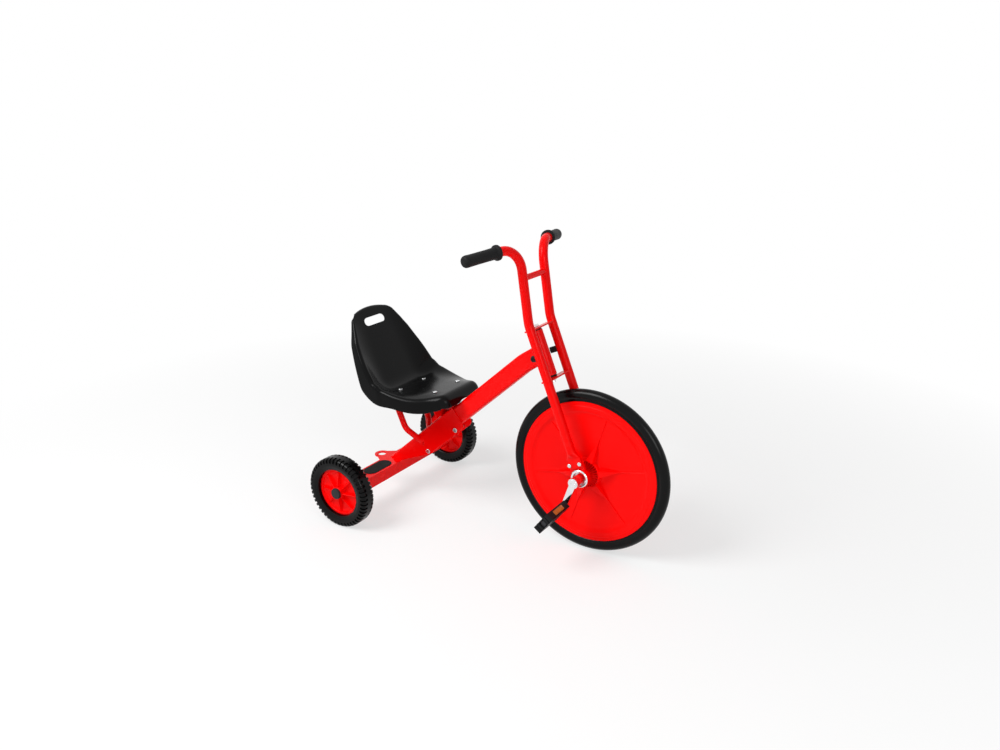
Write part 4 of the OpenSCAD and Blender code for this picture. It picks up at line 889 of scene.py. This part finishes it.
# node, width of the broken edge, segments
for node, width, segments in (
        ("rear_bracket", 0.7, 2), ("cross_channel", 1.0, 3), ("tow_tab", 0.8, 2), ("seat_bracket", 0.6, 2),
        ("head_tube", 0.6, 2), ("upper_yoke", 0.7, 2), ("lower_yoke", 0.7, 2), ("right_bearing_block", 0.8, 2),
        ("left_bearing_block", 0.8, 2), ("right_step_pad", 0.5, 2), ("left_step_pad", 0.5, 2), ("upper_bush", 0.8, 2),
        ("lower_bush", 0.8, 2), ("right_bumper", 2.2, 3), ("left_bumper", 2.2, 3), ("right_bearing_cap", 1.2, 3),
        ("left_bearing_cap", 1.2, 3), ("right_crank", 2.2, 4), ("left_crank", 2.2, 4), ("right_crank_cap", 0.4, 2),
        ("left_crank_cap", 0.4, 2), ("right_crank_spacer", 0.8, 2), ("left_crank_spacer", 0.8, 2),
        ("right_pedal", 0.7, 2), ("left_pedal", 0.7, 2), ("right_reflectors", 0.5, 2), ("left_reflectors", 0.5, 2),
        ("right_pedal_spindle", 0.6, 2), ("left_pedal_spindle", 0.6, 2), ("bracket_bolts", 1.6, 3),
        ("bracket_nuts", 0.7, 2), ("seat_screws", 1.2, 3), ("seat_nuts", 0.6, 2), ("bearing_bolts", 1.2, 3),
        ("bearing_nuts", 0.6, 2), ("axle_collars", 0.5, 2), ("axle_clips", 0.4, 2), ("steering_pin", 0.8, 2),
        ("steering_nut", 0.8, 2)):
    form = softened(node, width, segments)
    if node.endswith("pedal_spindle"):
        form.data.materials[0] = SPINDLE


# stage, in metres
def facing(place, aim):
    return (Vector(aim) - Vector(place)).to_track_quat("-Z", "Y").to_euler()


CAMERA_AT, CAMERA_AIM = (1.2215, -1.9482, 1.2467), (-0.0186, 0, 0.4489)
cam = bpy.data.objects.new("camera", bpy.data.cameras.new("camera"))
scene.collection.objects.link(cam)
cam.data.sensor_width = 36.0
cam.data.lens = 31.79
cam.location = CAMERA_AT
cam.rotation_euler = facing(CAMERA_AT, CAMERA_AIM)
scene.camera = cam
scene.view_settings.view_transform = "Standard"


def sees_background(nt):
    """1 for rays of the camera, and for those that metal and clear parts send on."""
    lp = nt.nodes.new("ShaderNodeLightPath")
    total = lp.outputs["Is Camera Ray"]
    for name in ("Is Glossy Ray", "Is Transmission Ray"):
        total = math_node(nt, "MAXIMUM", total, lp.outputs[name])
    return total


def mix_shader(nt, fac, first, second):
    mix = nt.nodes.new("ShaderNodeMixShader")
    for sock, src in zip(mix.inputs, (fac, first, second)):
        nt.links.new(src, sock)
    return mix.outputs[0]


# world: a soft grey light that is darker towards the floor, with a white background to look at
ROOM_LIGHT = [(0.0, 0.14), (0.25, 0.24), (0.8, 0.46)]
world = bpy.data.worlds.new("studio")
scene.world = world
world.use_nodes = True
nt = world.node_tree
room = nt.nodes["Background"]
room.inputs["Strength"].default_value = 1.0
toward = nt.nodes.new("ShaderNodeTexCoord")
split = nt.nodes.new("ShaderNodeSeparateXYZ")
nt.links.new(toward.outputs["Generated"], split.inputs[0])
nt.links.new(ramp(nt, split.outputs["Z"], ROOM_LIGHT), room.inputs["Color"])
white = nt.nodes.new("ShaderNodeBackground")
white.inputs["Color"].default_value = (1, 1, 1, 1)
white.inputs["Strength"].default_value = 1.0
nt.links.new(mix_shader(nt, sees_background(nt), room.outputs[0], white.outputs[0]),
             nt.nodes["World Output"].inputs["Surface"])


def lamp(name, place, aim, size, power):
    data = bpy.data.lights.new(name, "AREA")
    data.shape = "DISK"
    data.size = size
    data.energy = power
    o = bpy.data.objects.new(name, data)
    scene.collection.objects.link(o)
    o.location = place
    o.rotation_euler = facing(place, aim)


lamp("key", place=(-1.3, -2.2, 2.9), aim=(0, 0, 0.3), size=2.0, power=98)
lamp("fill", place=(2.4, -1.6, 1.5), aim=(0.1, 0, 0.4), size=1.4, power=20)

# floor: takes the shadow near the object and goes over into the white background further off
FLOOR_SIDE, CELLS, GLOW_FROM, GLOW_TO, GLOW_NEAR = 30.0, 6, 0.9, 2.2, 0.6
m, nt, b = new_mat("floor_white")
tint = ramp(nt, noise(nt, scale=3, detail=2), [(0.3, (0.955, 0.955, 0.955)), (0.7, (0.965, 0.965, 0.965))])
nt.links.new(tint, b.inputs["Base Color"])
b.inputs["Roughness"].default_value = 0.9
b.inputs["Specular IOR Level"].default_value = 0.1
glow = nt.nodes.new("ShaderNodeEmission")
geo = nt.nodes.new("ShaderNodeNewGeometry")
dist = nt.nodes.new("ShaderNodeVectorMath")
dist.operation = "LENGTH"
nt.links.new(geo.outputs["Position"], dist.inputs[0])
far = nt.nodes.new("ShaderNodeMapRange")
far.inputs["From Min"].default_value = GLOW_FROM
far.inputs["From Max"].default_value = GLOW_TO
far.inputs["To Min"].default_value = GLOW_NEAR
nt.links.new(dist.outputs["Value"], far.inputs["Value"])
share = math_node(nt, "MULTIPLY", far.outputs["Result"], sees_background(nt))
nt.links.new(mix_shader(nt, share, b.outputs[0], glow.outputs[0]), nt.nodes["Material Output"].inputs["Surface"])
steps = [FLOOR_SIDE * (i / CELLS - 0.5) for i in range(CELLS + 1)]
corners = [j * (CELLS + 1) + i for j in range(CELLS) for i in range(CELLS)]
me = bpy.data.meshes.new("floor")
me.from_pydata([(x, y, 0) for y in steps for x in steps], [],
               [(c, c + 1, c + CELLS + 2, c + CELLS + 1) for c in corners])
floor = bpy.data.objects.new("floor", me)
me.materials.append(m)
scene.collection.objects.link(floor)
